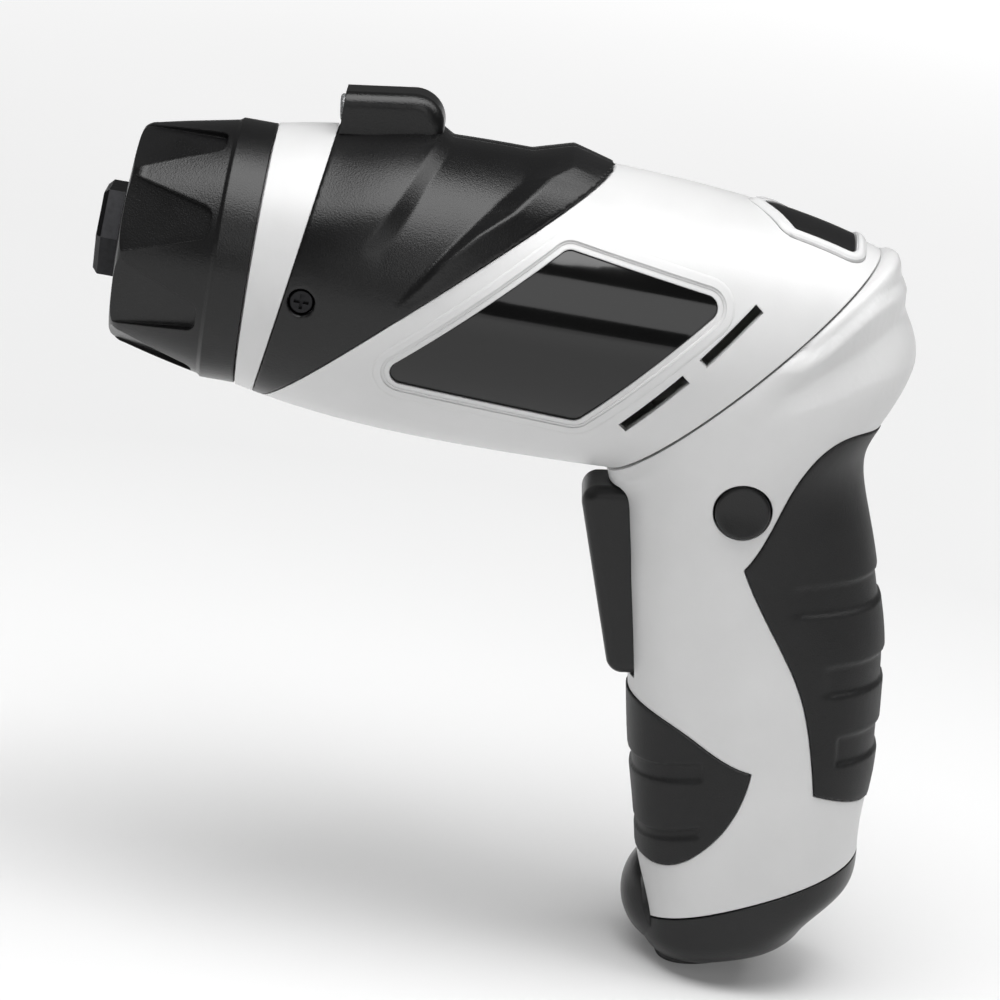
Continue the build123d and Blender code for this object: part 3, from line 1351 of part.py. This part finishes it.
with BuildPart() as cap_plug:
    add(handle_core)
    split(bisect_by=grip_plane(plug_drop, 0), keep=Keep.TOP)

with BuildPart() as cap_pocket:
    add(handle_form(-HANDLE_WALL - CAP_PLUG_GAP - CAP_WALL, handle_face_depth))
    split(bisect_by=grip_plane(plug_drop, 0), keep=Keep.TOP)
    split(bisect_by=grip_plane(handle_end_drop - CAP_FLOOR, HANDLE_SECTIONS[-1][1]), keep=Keep.BOTTOM)
    for left in (-CELL_PITCH / 2, CELL_PITCH / 2):
        with BuildSketch(grip_plane(plug_drop, 0)):
            with Locations((CELL_REAR, left)):
                Rectangle(2 * GRIP_REACH, CAP_RIB)
        extrude(amount=GRIP_REACH, mode=Mode.SUBTRACT)

with BuildPart() as toe_ball:
    Sphere(TOE_RADIUS)
    scale(by=(1, TOE_HALF_WIDTH / TOE_RADIUS, 1))

with BuildPart() as latch_toe:
    add(toe_ball.part.moved(Location(grip_point(TOE_DROP, TOE_RADIUS - TOE_REACH))))
    add(latch_column(0), mode=Mode.INTERSECT)
    add(grip_floor, mode=Mode.SUBTRACT)
    split(bisect_by=grip_plane(handle_end_drop, HANDLE_SECTIONS[-1][1]), keep=Keep.BOTTOM)

with BuildPart() as battery_cap:
    add(handle_skin)
    split(bisect_by=cap_plane.offset(BODY_GAP), keep=Keep.TOP)
    fillet(faces().sort_by(Axis.Z)[0].edges(), radius=CAP_ROUND)
    add(cap_plug.part)
    add(cap_pocket.part, mode=Mode.SUBTRACT)
    add(latch_toe.part)

with BuildPart() as cap_contacts:
    with BuildSketch(grip_plane(cap_contacts_drop, 0)):
        with Locations((CELL_REAR, CELL_PITCH / 2), (CELL_REAR, -CELL_PITCH / 2)):
            Rectangle(CELL_PITCH + CONTACT_WIDTH, CONTACT_WIDTH)
    extrude(amount=CONTACT_SHEET)

export(battery_cap.part, "battery_cap")
export(cap_contacts.part, "cap_contacts")
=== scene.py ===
import json
import math

import bmesh
import bpy
import numpy as np
from mathutils import Matrix, Vector
from mathutils.bvhtree import BVHTree
from mathutils.geometry import convex_hull_2d


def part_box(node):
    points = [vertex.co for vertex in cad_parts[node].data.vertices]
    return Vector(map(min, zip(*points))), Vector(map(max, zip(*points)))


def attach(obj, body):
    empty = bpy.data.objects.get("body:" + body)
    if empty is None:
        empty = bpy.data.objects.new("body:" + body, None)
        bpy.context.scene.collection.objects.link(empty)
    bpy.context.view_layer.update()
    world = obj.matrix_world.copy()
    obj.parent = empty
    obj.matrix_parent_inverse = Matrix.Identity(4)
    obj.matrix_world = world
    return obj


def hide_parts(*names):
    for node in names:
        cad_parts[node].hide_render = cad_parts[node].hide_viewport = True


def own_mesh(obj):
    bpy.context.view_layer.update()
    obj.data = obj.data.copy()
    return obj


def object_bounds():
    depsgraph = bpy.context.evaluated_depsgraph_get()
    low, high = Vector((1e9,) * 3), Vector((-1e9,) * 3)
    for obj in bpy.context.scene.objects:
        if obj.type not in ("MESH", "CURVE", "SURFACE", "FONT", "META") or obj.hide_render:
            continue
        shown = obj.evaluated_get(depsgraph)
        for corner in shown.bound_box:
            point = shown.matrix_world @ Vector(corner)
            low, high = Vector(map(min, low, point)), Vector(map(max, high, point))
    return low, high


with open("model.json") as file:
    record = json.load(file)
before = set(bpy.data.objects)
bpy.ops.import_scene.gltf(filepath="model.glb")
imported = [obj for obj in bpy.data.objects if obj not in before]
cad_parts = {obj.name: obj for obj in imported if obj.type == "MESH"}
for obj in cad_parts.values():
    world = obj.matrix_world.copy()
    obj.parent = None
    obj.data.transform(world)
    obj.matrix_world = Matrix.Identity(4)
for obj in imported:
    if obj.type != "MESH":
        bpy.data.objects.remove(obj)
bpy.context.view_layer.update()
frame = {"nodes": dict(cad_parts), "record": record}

nodes = frame["nodes"]
slot_of = {entry["node"]: entry["material_slot"] for entry in frame["record"]["subparts"]}
MM = 0.001

# Textures: scales are per metre, and most of a noise texture's values lie in NOISE_RANGE
NOISE_RANGE = (0.3, 0.7)
CLOUD_SCALE = 60
CLOUD_DETAIL = 3
GRAIN_DETAIL = 2
GRAIN_STRENGTH = 0.5
MARK_DETAIL = 4
EDGE_RADIUS = 0.35 * MM
EDGE_SAMPLES = 4

# Moulded finishes: two colours, the range of roughness, and the grain's scale and depth
PLASTICS = {
    "white_shell": dict(
        low=(0.58, 0.58, 0.58), high=(0.62, 0.62, 0.62), gloss=(0.33, 0.4), grain=2600, depth=0.02 * MM
    ),
    "dark_plastic": dict(
        low=(0.004, 0.004, 0.0042), high=(0.007, 0.007, 0.0072), gloss=(0.27, 0.34),
        grain=3200, depth=0.09 * MM, specular=0.36,
    ),
    "black_panel": dict(
        low=(0.0015, 0.0015, 0.0015), high=(0.002, 0.002, 0.002), gloss=(0.06, 0.1),
        grain=900, depth=0.003 * MM, specular=0.4, coat=0.2,
    ),
    "soft_grip": dict(
        low=(0.006, 0.006, 0.0062), high=(0.01, 0.01, 0.0102), gloss=(0.44, 0.54),
        grain=3600, depth=0.16 * MM, specular=0.32,
    ),
    "gear_plastic": dict(
        low=(0.6, 0.6, 0.57), high=(0.66, 0.66, 0.63), gloss=(0.4, 0.5), grain=2000, depth=0.03 * MM
    ),
    "cell_wrap": dict(
        low=(0.12, 0.14, 0.17), high=(0.15, 0.17, 0.2), gloss=(0.25, 0.32), grain=1500, depth=0.01 * MM
    ),
    "light_inner": dict(
        low=(0.7, 0.7, 0.5), high=(0.75, 0.75, 0.56), gloss=(0.3, 0.4), grain=1500, depth=0.01 * MM
    ),
}

# Metal finishes: two colours, the range of roughness, and the scale of the fine marks
METALS = {
    "steel": dict(low=(0.5, 0.5, 0.51), high=(0.62, 0.62, 0.63), gloss=(0.28, 0.4), grain=900),
    "dark_steel": dict(low=(0.02, 0.02, 0.021), high=(0.032, 0.032, 0.034), gloss=(0.35, 0.5), grain=900),
    "bronze": dict(low=(0.5, 0.34, 0.17), high=(0.58, 0.42, 0.22), gloss=(0.35, 0.48), grain=1200),
    "contact_metal": dict(low=(0.66, 0.66, 0.66), high=(0.74, 0.74, 0.74), gloss=(0.16, 0.26), grain=700),
}

# Clear plastic of the light's lens
LENS_TINT = (0.93, 0.95, 0.97, 1)
LENS_GLOSS = (0.04, 0.1)
LENS_HAZE_SCALE = 500
LENS_CLEARNESS = 0.85
LENS_INDEX = 1.46


def material(name):
    """A new node material, its node tree and its shader."""
    made = bpy.data.materials.new(name)
    made.use_nodes = True
    return made, made.node_tree, made.node_tree.nodes["Principled BSDF"]


def noise(tree, scale, detail):
    """A noise texture's value in object space."""
    place = tree.nodes.new("ShaderNodeTexCoord")
    texture = tree.nodes.new("ShaderNodeTexNoise")
    texture.inputs["Scale"].default_value = scale
    texture.inputs["Detail"].default_value = detail
    tree.links.new(place.outputs["Object"], texture.inputs["Vector"])
    return texture.outputs["Fac"]


def ramp(tree, source, low, high):
    """Two colours mixed by a texture's value."""
    made = tree.nodes.new("ShaderNodeValToRGB")
    for element, position, colour in zip(made.color_ramp.elements, NOISE_RANGE, (low, high)):
        element.position = position
        element.color = (*colour, 1)
    tree.links.new(source, made.inputs["Fac"])
    return made.outputs["Color"]


def spread(tree, source, target, origin=NOISE_RANGE):
    """A value moved from one range to another."""
    made = tree.nodes.new("ShaderNodeMapRange")
    made.inputs["From Min"].default_value, made.inputs["From Max"].default_value = origin
    made.inputs["To Min"].default_value, made.inputs["To Max"].default_value = target
    tree.links.new(source, made.inputs["Value"])
    return made.outputs["Result"]


def moulded(name, low, high, gloss, grain, depth, specular=0.5, coat=0.0):
    """Moulded plastic or rubber: slight colour and gloss clouds, a fine grain and soft edges."""
    made, tree, shader = material(name)
    clouds = noise(tree, CLOUD_SCALE, CLOUD_DETAIL)
    tree.links.new(ramp(tree, clouds, low, high), shader.inputs["Base Color"])
    tree.links.new(spread(tree, clouds, gloss), shader.inputs["Roughness"])
    shader.inputs["Specular IOR Level"].default_value = specular
    shader.inputs["Coat Weight"].default_value = coat
    edge = tree.nodes.new("ShaderNodeBevel")
    edge.samples = EDGE_SAMPLES
    edge.inputs["Radius"].default_value = EDGE_RADIUS
    bump = tree.nodes.new("ShaderNodeBump")
    bump.inputs["Strength"].default_value = GRAIN_STRENGTH
    bump.inputs["Distance"].default_value = depth
    tree.links.new(edge.outputs["Normal"], bump.inputs["Normal"])
    tree.links.new(noise(tree, grain, GRAIN_DETAIL), bump.inputs["Height"])
    tree.links.new(bump.outputs["Normal"], shader.inputs["Normal"])
    return made


def metal(name, low, high, gloss, grain):
    """Machined metal with fine marks."""
    made, tree, shader = material(name)
    marks = noise(tree, grain, MARK_DETAIL)
    tree.links.new(ramp(tree, marks, low, high), shader.inputs["Base Color"])
    tree.links.new(spread(tree, marks, gloss), shader.inputs["Roughness"])
    shader.inputs["Metallic"].default_value = 1.0
    return made


def clear(name):
    """Clear plastic with a slight haze."""
    made, tree, shader = material(name)
    haze = noise(tree, LENS_HAZE_SCALE, GRAIN_DETAIL)
    tree.links.new(spread(tree, haze, LENS_GLOSS), shader.inputs["Roughness"])
    shader.inputs["Base Color"].default_value = LENS_TINT
    shader.inputs["Transmission Weight"].default_value = LENS_CLEARNESS
    shader.inputs["IOR"].default_value = LENS_INDEX
    return made


by_slot = {slot: moulded(slot, **look) for slot, look in PLASTICS.items()}
by_slot.update({slot: metal(slot, **look) for slot, look in METALS.items()})
by_slot["clear_lens"] = clear("clear_lens")
for name, node in nodes.items():
    node.data.materials.clear()
    node.data.materials.append(by_slot[slot_of[name]])

# Finer meshes of CAD nodes: lengths and heights are in millimetres
WELD = 0.002
SMOOTH_SHARE = 0.5
SMOOTH_ROUNDS = 4
DIVIDE_ROUNDS = 5
LEAST_HEIGHT = 0.004
LEAST_LENGTH = 1e-6
SHARP = math.radians(30)
EASE_ROUNDS = 3

# How far a surface faces outward, as a cosine, where a field starts to move it and where it moves it in full
OUTER_SIDE = (-0.5, 0.1)


def step(low, high, value):
    """An eased step from 0 at low to 1 at high."""
    part = np.clip((value - low) / (high - low), 0.0, 1.0)
    return part * part * (3 - 2 * part)


def band(low, high, value, soft_edge):
    """1 between two values, with an eased edge at each."""
    return step(low, low + soft_edge, value) * (1 - step(high - soft_edge, high, value))


def along(line, value):
    """A line's second coordinate at values of its first."""
    return np.interp(value, [spot[0] for spot in line], [spot[1] for spot in line])


def unit(ways):
    """Rows of a table as ways of length 1."""
    return ways / np.maximum(np.linalg.norm(ways, axis=1), LEAST_LENGTH)[:, None]


def dressed(name, mesh, node, body):
    """A new piece that rides on a body, with a node's finish."""
    piece = bpy.data.objects.new(name, mesh)
    bpy.context.scene.collection.objects.link(piece)
    mesh.materials.append(by_slot[slot_of[node]])
    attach(piece, body)
    return piece


def welded(name):
    """A CAD node's mesh with its faces joined at their edges."""
    grid = bmesh.new()
    grid.from_mesh(nodes[name].data)
    bmesh.ops.remove_doubles(grid, verts=grid.verts, dist=WELD * MM)
    return grid


def finished(grid, name):
    """A mesh made from a grid, which is freed."""
    mesh = bpy.data.meshes.new(name)
    grid.to_mesh(mesh)
    grid.free()
    return mesh


def softened(name, voxel):
    """An even mesh of a CAD node, with its edges slightly rounded."""
    mesh = finished(welded(name), name + "_plain")
    plain = bpy.data.objects.new(name + "_plain", mesh)
    bpy.context.scene.collection.objects.link(plain)
    remesh = plain.modifiers.new("remesh", "REMESH")
    remesh.mode = "VOXEL"
    remesh.voxel_size = voxel * MM
    ease = plain.modifiers.new("ease", "SMOOTH")
    ease.factor = SMOOTH_SHARE
    ease.iterations = SMOOTH_ROUNDS
    fine = bpy.data.meshes.new_from_object(plain.evaluated_get(bpy.context.evaluated_depsgraph_get()))
    bpy.data.objects.remove(plain)
    bpy.data.meshes.remove(mesh)
    return fine


def divided(name, field, length):
    """A CAD node's mesh with short edges where a field moves it, and its own sharp edges."""
    grid = welded(name)
    for _ in range(DIVIDE_ROUNDS):
        edges = list(grid.edges)
        ends = np.array([[vertex.co for vertex in edge.verts] for edge in edges]) / MM
        spans = np.linalg.norm(ends[:, 0] - ends[:, 1], axis=1)
        wanted = (spans > length) & (np.abs(field(ends.mean(axis=1))) > LEAST_HEIGHT)
        if not wanted.any():
            break
        chosen = [edge for edge, want in zip(edges, wanted) if want]
        bmesh.ops.subdivide_edges(grid, edges=chosen, cuts=1)
        bmesh.ops.triangulate(grid, faces=[face for face in grid.faces if len(face.verts) > 3])
    for edge in grid.edges:
        edge.smooth = edge.is_manifold and edge.calc_face_angle(0.0) < SHARP
    return finished(grid, name + "_plain")


def eased(fine, heights):
    """Heights at a mesh's vertices, evened out between neighbours."""
    ends = np.empty(len(fine.edges) * 2, dtype=np.int32)
    fine.edges.foreach_get("vertices", ends)
    first, second = ends.reshape(-1, 2).T
    size = len(heights)
    neighbours = np.maximum(np.bincount(ends, minlength=size), 1)
    for _ in range(EASE_ROUNDS):
        around = np.bincount(first, heights[second], size) + np.bincount(second, heights[first], size)
        heights = (heights + around / neighbours) / 2
    return heights


def sculpt(name, fine, field, outward, body):
    """A piece that stands for a CAD node: a finer mesh, with all but its inner side moved by a field."""
    fine.name = name + "_worked"
    places = np.empty(len(fine.vertices) * 3)
    ways = np.empty(len(fine.vertices) * 3)
    fine.vertices.foreach_get("co", places)
    fine.vertices.foreach_get("normal", ways)
    places = places.reshape(-1, 3) / MM
    out = outward(places)
    facing = np.sum(out * ways.reshape(-1, 3), axis=1)
    heights = eased(fine, field(places) * step(*OUTER_SIDE, facing))
    places += out * heights[:, None]
    fine.vertices.foreach_set("co", (places * MM).ravel())
    fine.polygons.foreach_set("use_smooth", np.ones(len(fine.polygons), dtype=bool))
    fine.update()
    piece = dressed(name + "_worked", fine, name, body)
    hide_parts(name)


# Sleeve pleats: (up, back) along the first crease, its foot, the valley and the ridge
CREASE = ((9.6, 46.5), (17.2, 51.2), (23.4, 54.4), (26.6, 56.6))
FOOT = ((9.6, 50.0), (12.9, 52.1), (16.9, 54.0), (22.1, 56.4), (26.6, 58.8))
VALLEY = ((-1.6, 51.7), (1.5, 54.2), (10.1, 59.9), (16.9, 65.0), (20.3, 68.0), (23.3, 71.5), (27.1, 73.0))
RIDGE = ((1.1, 54.2), (8.9, 60.1), (14.5, 65.9), (18.5, 71.5), (23.8, 76.5), (25.4, 80.0))
SLEEVE_VOXEL = 0.32

# Back along the sleeve's rear edge: its value level with the spindle, its slope and its bend going up
SLEEVE_END = (56.2, 1.07, 0.004)

# Each pleat's height, and the levels between which it grows to that
FIRST_PLEAT = (1.4, 5.0, 17.0)
SECOND_PLEAT = (2.2, -1.0, 15.0)

# Run up to the first crease, height left at the rear edge, and least runs to the ridge and to that edge
CREASE_RUN = 16.0
REAR_EDGE_HEIGHT = 0.4
LEAST_RIDGE_RUN = 0.3
LEAST_REAR_RUN = 1.0


def from_spindle(places):
    """The way out from the spindle's axis."""
    return unit(places * (0, 1, 1))


def pleats(places):
    """Height of the sleeve's folds over its plain surface."""
    back, up = -places[:, 0], places[:, 2]
    crease, foot, valley = (along(line, up) for line in (CREASE, FOOT, VALLEY))
    ridge = np.maximum(along(RIDGE, up), valley + LEAST_RIDGE_RUN)
    base, slope, bend = SLEEVE_END
    end = np.maximum(base + slope * up + bend * up**2, ridge + LEAST_REAR_RUN)
    first, second = (height * step(start, full, up) for height, start, full in (FIRST_PLEAT, SECOND_PLEAT))
    front = first * step(crease - CREASE_RUN, crease, back)
    fall = first * (1 - np.clip((back - crease) / (foot - crease), 0, 1))
    rise = second * np.clip((back - valley) / (ridge - valley), 0, 1)
    rear = second - (second - REAR_EDGE_HEIGHT) * np.clip((back - ridge) / (end - ridge), 0, 1)
    return np.where(back < crease, front, np.where(back < valley, fall, np.where(back < ridge, rise, rear)))


for half in ("sleeve_left", "sleeve_right"):
    sculpt(half, softened(half, SLEEVE_VOXEL), pleats, from_spindle, "head")

# Handle's frame in the side view: the seam's middle, and the ways down and back
LEAN = math.radians(82.0)
GRIP_MIDDLE = 5.0
SEAM = np.array((-116.4, 0.0, -3.4))
DROP = np.array((-math.cos(LEAN), 0.0, -math.sin(LEAN)))
REAR = np.array((-math.sin(LEAN), 0.0, math.cos(LEAN)))

# Lines over the knuckle of the handle: the height there, with (rear, drop) along it
FLUTES = (
    (-0.5, ((10.9, -7.2), (14.9, -9.8), (19.8, -13.6), (22.5, -15.6), (30.0, -17.5))),
    (0.5, ((8.8, -3.7), (13.3, -6.5), (17.9, -10.1), (22.0, -12.9), (30.0, -15.0))),
    (-0.45, ((6.2, 1.0), (12.4, -2.4), (21.1, -7.1), (26.7, -10.0), (32.0, -11.5))),
    (0.5, ((4.1, 5.8), (9.8, 3.4), (15.5, 1.3), (21.4, -0.8), (27.6, -1.8), (32.0, -1.7))),
)

# How far the folds reach above and below those lines, where they start, and the mesh's edge length there
FLUTES_ABOVE = 3.5
FLUTES_BELOW = 8.0
FLUTES_START = (2.0, 10.0)
FLUTE_EDGE = 0.7

# Sunk bands of the soft grips: upper and lower drop, then where they start and how softly, or their slope
REAR_BANDS = ((36.4, 42.2, 9.3, 4.0), (51.5, 57.4, 16.0, 3.0), (65.0, 70.6, 19.8, 0.8))
FRONT_BANDS = ((69.4, 73.0, -0.2), (81.2, 83.4, -0.3))
BAND_DEPTH = 0.6
BAND_EASE = 0.45
REAR_BAND_LEAD = 0.4
FRONT_BAND_START = (3.6, 5.0)
REAR_GRIP_VOXEL = 0.35
FRONT_GRIP_VOXEL = 0.3


def side_view(places):
    """The drop and the rearward place of points on the handle."""
    return (places - SEAM) @ DROP, (places - SEAM) @ REAR


def from_grip(places):
    """The way out from the handle's middle line."""
    rear = (places - SEAM) @ REAR
    return unit(REAR * (rear - GRIP_MIDDLE)[:, None] + places * (0, 1, 0))


def flutes(places):
    """Height of the soft folds that fan out over the knuckle."""
    drop, rear = side_view(places)
    lines = [along(line, rear) for _, line in FLUTES]
    lines = [lines[0] - FLUTES_ABOVE] + lines + [lines[-1] + FLUTES_BELOW]
    heights = [0.0] + [height for height, _ in FLUTES] + [0.0]
    found = np.zeros(len(drop))
    for upper, lower, start, end in zip(lines, lines[1:], heights, heights[1:]):
        share = (drop - upper) / (lower - upper)
        inside = (share >= 0) & (share < 1)
        found[inside] = (start + (end - start) * share)[inside]
    return found * step(*FLUTES_START, rear)


def rear_bands(places):
    """Depth of the palm bands in the rear grip."""
    drop, rear = side_view(places)
    found = np.zeros(len(drop))
    for upper, lower, start, ease in REAR_BANDS:
        reached = step(start - REAR_BAND_LEAD, start + ease, rear)
        found -= BAND_DEPTH * band(upper, lower, drop, BAND_EASE) * reached
    return found


def front_bands(places):
    """Depth of the finger bands in the front grip."""
    drop, rear = side_view(places)
    found = np.zeros(len(drop))
    for upper, lower, slope in FRONT_BANDS:
        level = drop - slope * rear
        found -= BAND_DEPTH * band(upper, lower, level, BAND_EASE) * step(*FRONT_BAND_START, -rear)
    return found


for half in ("handle_shell_left", "handle_shell_right"):
    sculpt(half, divided(half, flutes, FLUTE_EDGE), flutes, from_grip, "handle")
sculpt("rear_grip", softened("rear_grip", REAR_GRIP_VOXEL), rear_bands, from_grip, "handle")
sculpt("front_grip", softened("front_grip", FRONT_GRIP_VOXEL), front_bands, from_grip, "handle")

# Rings on the head's shells: a profile gives the distance out from the node and the height at each edge
HALVES = ("head_shell_left", "head_shell_right")
LOCK_RIM = ((0.5, -0.3), (0.55, 0.1), (0.8, 0.32), (1.3, 0.4), (1.8, 0.22), (2.3, -0.15), (1.2, -0.4))
PANEL_RIM = ((0.9, -0.2), (1.0, 0.0), (1.15, 0.22), (1.4, 0.26), (3.0, 0.04), (3.3, -0.12), (2.0, -0.4))
LOCK_RIM_SPOTS = 180
PANEL_RIM_SPOTS = 220
RAY_START = 100.0
skins = [BVHTree.FromObject(nodes[half], bpy.context.evaluated_depsgraph_get()) for half in HALVES]


def outline_of(name, axes, count):
    """A CAD node's outline, flattened along the axis that is left out, as evenly spaced points."""
    flat = np.array([vertex.co for vertex in nodes[name].data.vertices])[:, axes] / MM
    ring = [flat[number] for number in convex_hull_2d([Vector(spot) for spot in flat])]
    ring.append(ring[0])
    ring = np.array(ring)
    walked = np.concatenate(([0.0], np.cumsum(np.linalg.norm(np.diff(ring, axis=0), axis=1))))
    places = np.linspace(0, walked[-1], count, endpoint=False)
    return np.stack([np.interp(places, walked, ring[:, axis]) for axis in (0, 1)], axis=1)


def ways_out(flat):
    """The way out of a flat outline at each of its points."""
    around = np.roll(flat, -1, axis=0) - np.roll(flat, 1, axis=0)
    out = np.stack((around[:, 1], -around[:, 0]), axis=1)
    out /= np.linalg.norm(out, axis=1)[:, None]
    return out if np.sum(out * (flat - flat.mean(axis=0))) >= 0 else -out


def landed(spot, axes, toward, height):
    """The place at a height over the head's shells on a ray through a flat point, or None."""
    start = -toward * RAY_START * MM
    start[axes[0]], start[axes[1]] = spot * MM
    hits = [skin.ray_cast(start, toward) for skin in skins]
    near = min((hit for hit in hits if hit[0] is not None), key=lambda hit: hit[3], default=None)
    return None if near is None else near[0] - toward * height * MM


def bead(name, node, axes, toward, profile, count):
    """A ring on the head's shells round a node. A point that meets no shell takes its neighbour's place."""
    flat = outline_of(node, axes, count)
    toward = Vector(toward)
    rows = []
    for spot, way in zip(flat, ways_out(flat)):
        rows.append([landed(spot + way * gap, axes, toward, height) for gap, height in profile])
    for number, row in enumerate(rows):
        for place, spot in enumerate(row):
            if spot is None:
                row[place] = rows[number - 1][place].copy()
    grid = bmesh.new()
    made = [[grid.verts.new(spot) for spot in row] for row in rows]
    for first, second in zip(made, made[1:] + made[:1]):
        for place in range(len(profile)):
            after = (place + 1) % len(profile)
            grid.faces.new((first[place], first[after], second[after], second[place]))
    bmesh.ops.recalc_face_normals(grid, faces=grid.faces)
    for face in grid.faces:
        face.smooth = True
    dressed(name, finished(grid, name), HALVES[0], "head")


bead("lock_rim", "lock_button", (0, 1), (0, 0, -1), LOCK_RIM, LOCK_RIM_SPOTS)
bead("panel_rim_left", "panel_left", (0, 2), (0, -1, 0), PANEL_RIM, PANEL_RIM_SPOTS)
bead("panel_rim_right", "panel_right", (0, 2), (0, 1, 0), PANEL_RIM, PANEL_RIM_SPOTS)

# Thumb hollows in the direction button's two ends
HOLLOW_DEPTH = 0.7
BUTTON_VOXEL = 0.3
button_low, button_high = (np.array(corner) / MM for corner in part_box("direction_button"))
button_middle = (button_low + button_high) / 2
button_radius = (button_high[2] - button_low[2]) / 2


def hollows(places):
    """Depth of the direction button's hollows."""
    away = np.hypot(places[:, 0] - button_middle[0], places[:, 2] - button_middle[2])
    return -HOLLOW_DEPTH * np.clip(1 - (away / button_radius) ** 2, 0, 1)


def from_middle(places):
    """The way out to the nearer side."""
    return np.sign(places) * (0, 1, 0)


button_mesh = softened("direction_button", BUTTON_VOXEL)
sculpt("direction_button", button_mesh, hollows, from_middle, "direction_button")

# Springs copied into pieces that ride on their bodies: the node, the body it sits in and the joint that
# pushes it
SPRINGS = (
    ("clutch_spring", "head", "nut_feed"),
    ("lock_spring", "head", "lock_press"),
    ("trigger_spring", "handle", "trigger_pull"),
)
for name, body, joint in SPRINGS:
    mesh = nodes[name].data.copy()
    mesh.materials.clear()
    coil = dressed(name + "_coil", mesh, name, body)
    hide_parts(name)
    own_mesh(coil)

# Camera at the photograph's place: the point it faces, that point's pixel, and the picture's width there
AIM = Vector((-0.090, 0.0, -0.030))
AIM_PIXEL = (570.4, 474.0)
PHOTO_PIXELS = 1000
PHOTO_SPAN = 0.180
YAW = math.radians(2.7)
RISE = math.radians(15.2)
ROLL = math.radians(10.7)
DISTANCE = 0.75
SENSOR = 36.0
out = Vector((math.sin(YAW) * math.cos(RISE), math.cos(YAW) * math.cos(RISE), math.sin(RISE)))
right = (-out).cross(Vector((0, 0, 1))).normalized()
up = right.cross(-out)
turned_right = right * math.cos(ROLL) + up * math.sin(ROLL)
turned_up = up * math.cos(ROLL) - right * math.sin(ROLL)
turn = Matrix((turned_right, turned_up, out)).transposed()
camera_data = bpy.data.cameras.new("camera")
camera_data.sensor_width = SENSOR
camera_data.lens = SENSOR * DISTANCE / PHOTO_SPAN
camera_data.shift_x = 0.5 - AIM_PIXEL[0] / PHOTO_PIXELS
camera_data.shift_y = AIM_PIXEL[1] / PHOTO_PIXELS - 0.5
camera = bpy.data.objects.new("camera", camera_data)
bpy.context.scene.collection.objects.link(camera)
camera.matrix_world = Matrix.Translation(AIM + out * DISTANCE) @ turn.to_4x4()
bpy.context.scene.camera = camera

# Pale floor just under the handle, with a glow that grows away from the tool
FLOOR_SIZE = 6
FLOOR_GAP = 0.6 * MM
FLOOR_LOW = (0.7, 0.7, 0.7)
FLOOR_HIGH = (0.72, 0.72, 0.72)
FLOOR_CLOUD_SCALE = 3
FLOOR_ROUGHNESS = 0.9
GLOW_COLOUR = (1, 1, 1, 1)
GLOW_REACH = (0.3, 1.3)
GLOW_STRENGTH = (0.1, 0.8)
floor_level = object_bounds()[0][2] - FLOOR_GAP
bpy.ops.mesh.primitive_plane_add(size=FLOOR_SIZE, location=(AIM.x, 0, floor_level))
floor = bpy.context.object
floor.name = "floor"
floor_look, tree, shader = material("floor")
cloud = noise(tree, FLOOR_CLOUD_SCALE, GRAIN_DETAIL)
tree.links.new(ramp(tree, cloud, FLOOR_LOW, FLOOR_HIGH), shader.inputs["Base Color"])
shader.inputs["Roughness"].default_value = FLOOR_ROUGHNESS
shader.inputs["Emission Color"].default_value = GLOW_COLOUR
floor_place = tree.nodes.new("ShaderNodeTexCoord")
away = tree.nodes.new("ShaderNodeVectorMath")
away.operation = "LENGTH"
tree.links.new(floor_place.outputs["Object"], away.inputs[0])
glow = spread(tree, away.outputs["Value"], GLOW_STRENGTH, GLOW_REACH)
tree.links.new(glow, shader.inputs["Emission Strength"])
floor.data.materials.append(floor_look)

# Soft lights: name, place, size in metres and power in watts
LAMPS = (
    ("top_light", (0.05, 0.28, 1.0), 0.9, 14),
    ("front_light", (-0.2, 1.1, 0.45), 0.55, 1.6),
    ("rear_light", (-0.6, -0.02, 0.9), 0.7, 5.5),
)
WORLD_COLOUR = (1, 1, 1, 1)
WORLD_STRENGTH = 0.1
for name, place, size, power in LAMPS:
    lamp_data = bpy.data.lights.new(name, "AREA")
    lamp_data.size = size
    lamp_data.energy = power
    lamp = bpy.data.objects.new(name, lamp_data)
    bpy.context.scene.collection.objects.link(lamp)
    lamp.location = place
    lamp.rotation_euler = (AIM - Vector(place)).to_track_quat("-Z", "Y").to_euler()
world = bpy.data.worlds.new("studio")
world.use_nodes = True
background = world.node_tree.nodes["Background"]
background.inputs["Color"].default_value = WORLD_COLOUR
background.inputs["Strength"].default_value = WORLD_STRENGTH
bpy.context.scene.world = world
bpy.context.scene.view_settings.view_transform = "Standard"
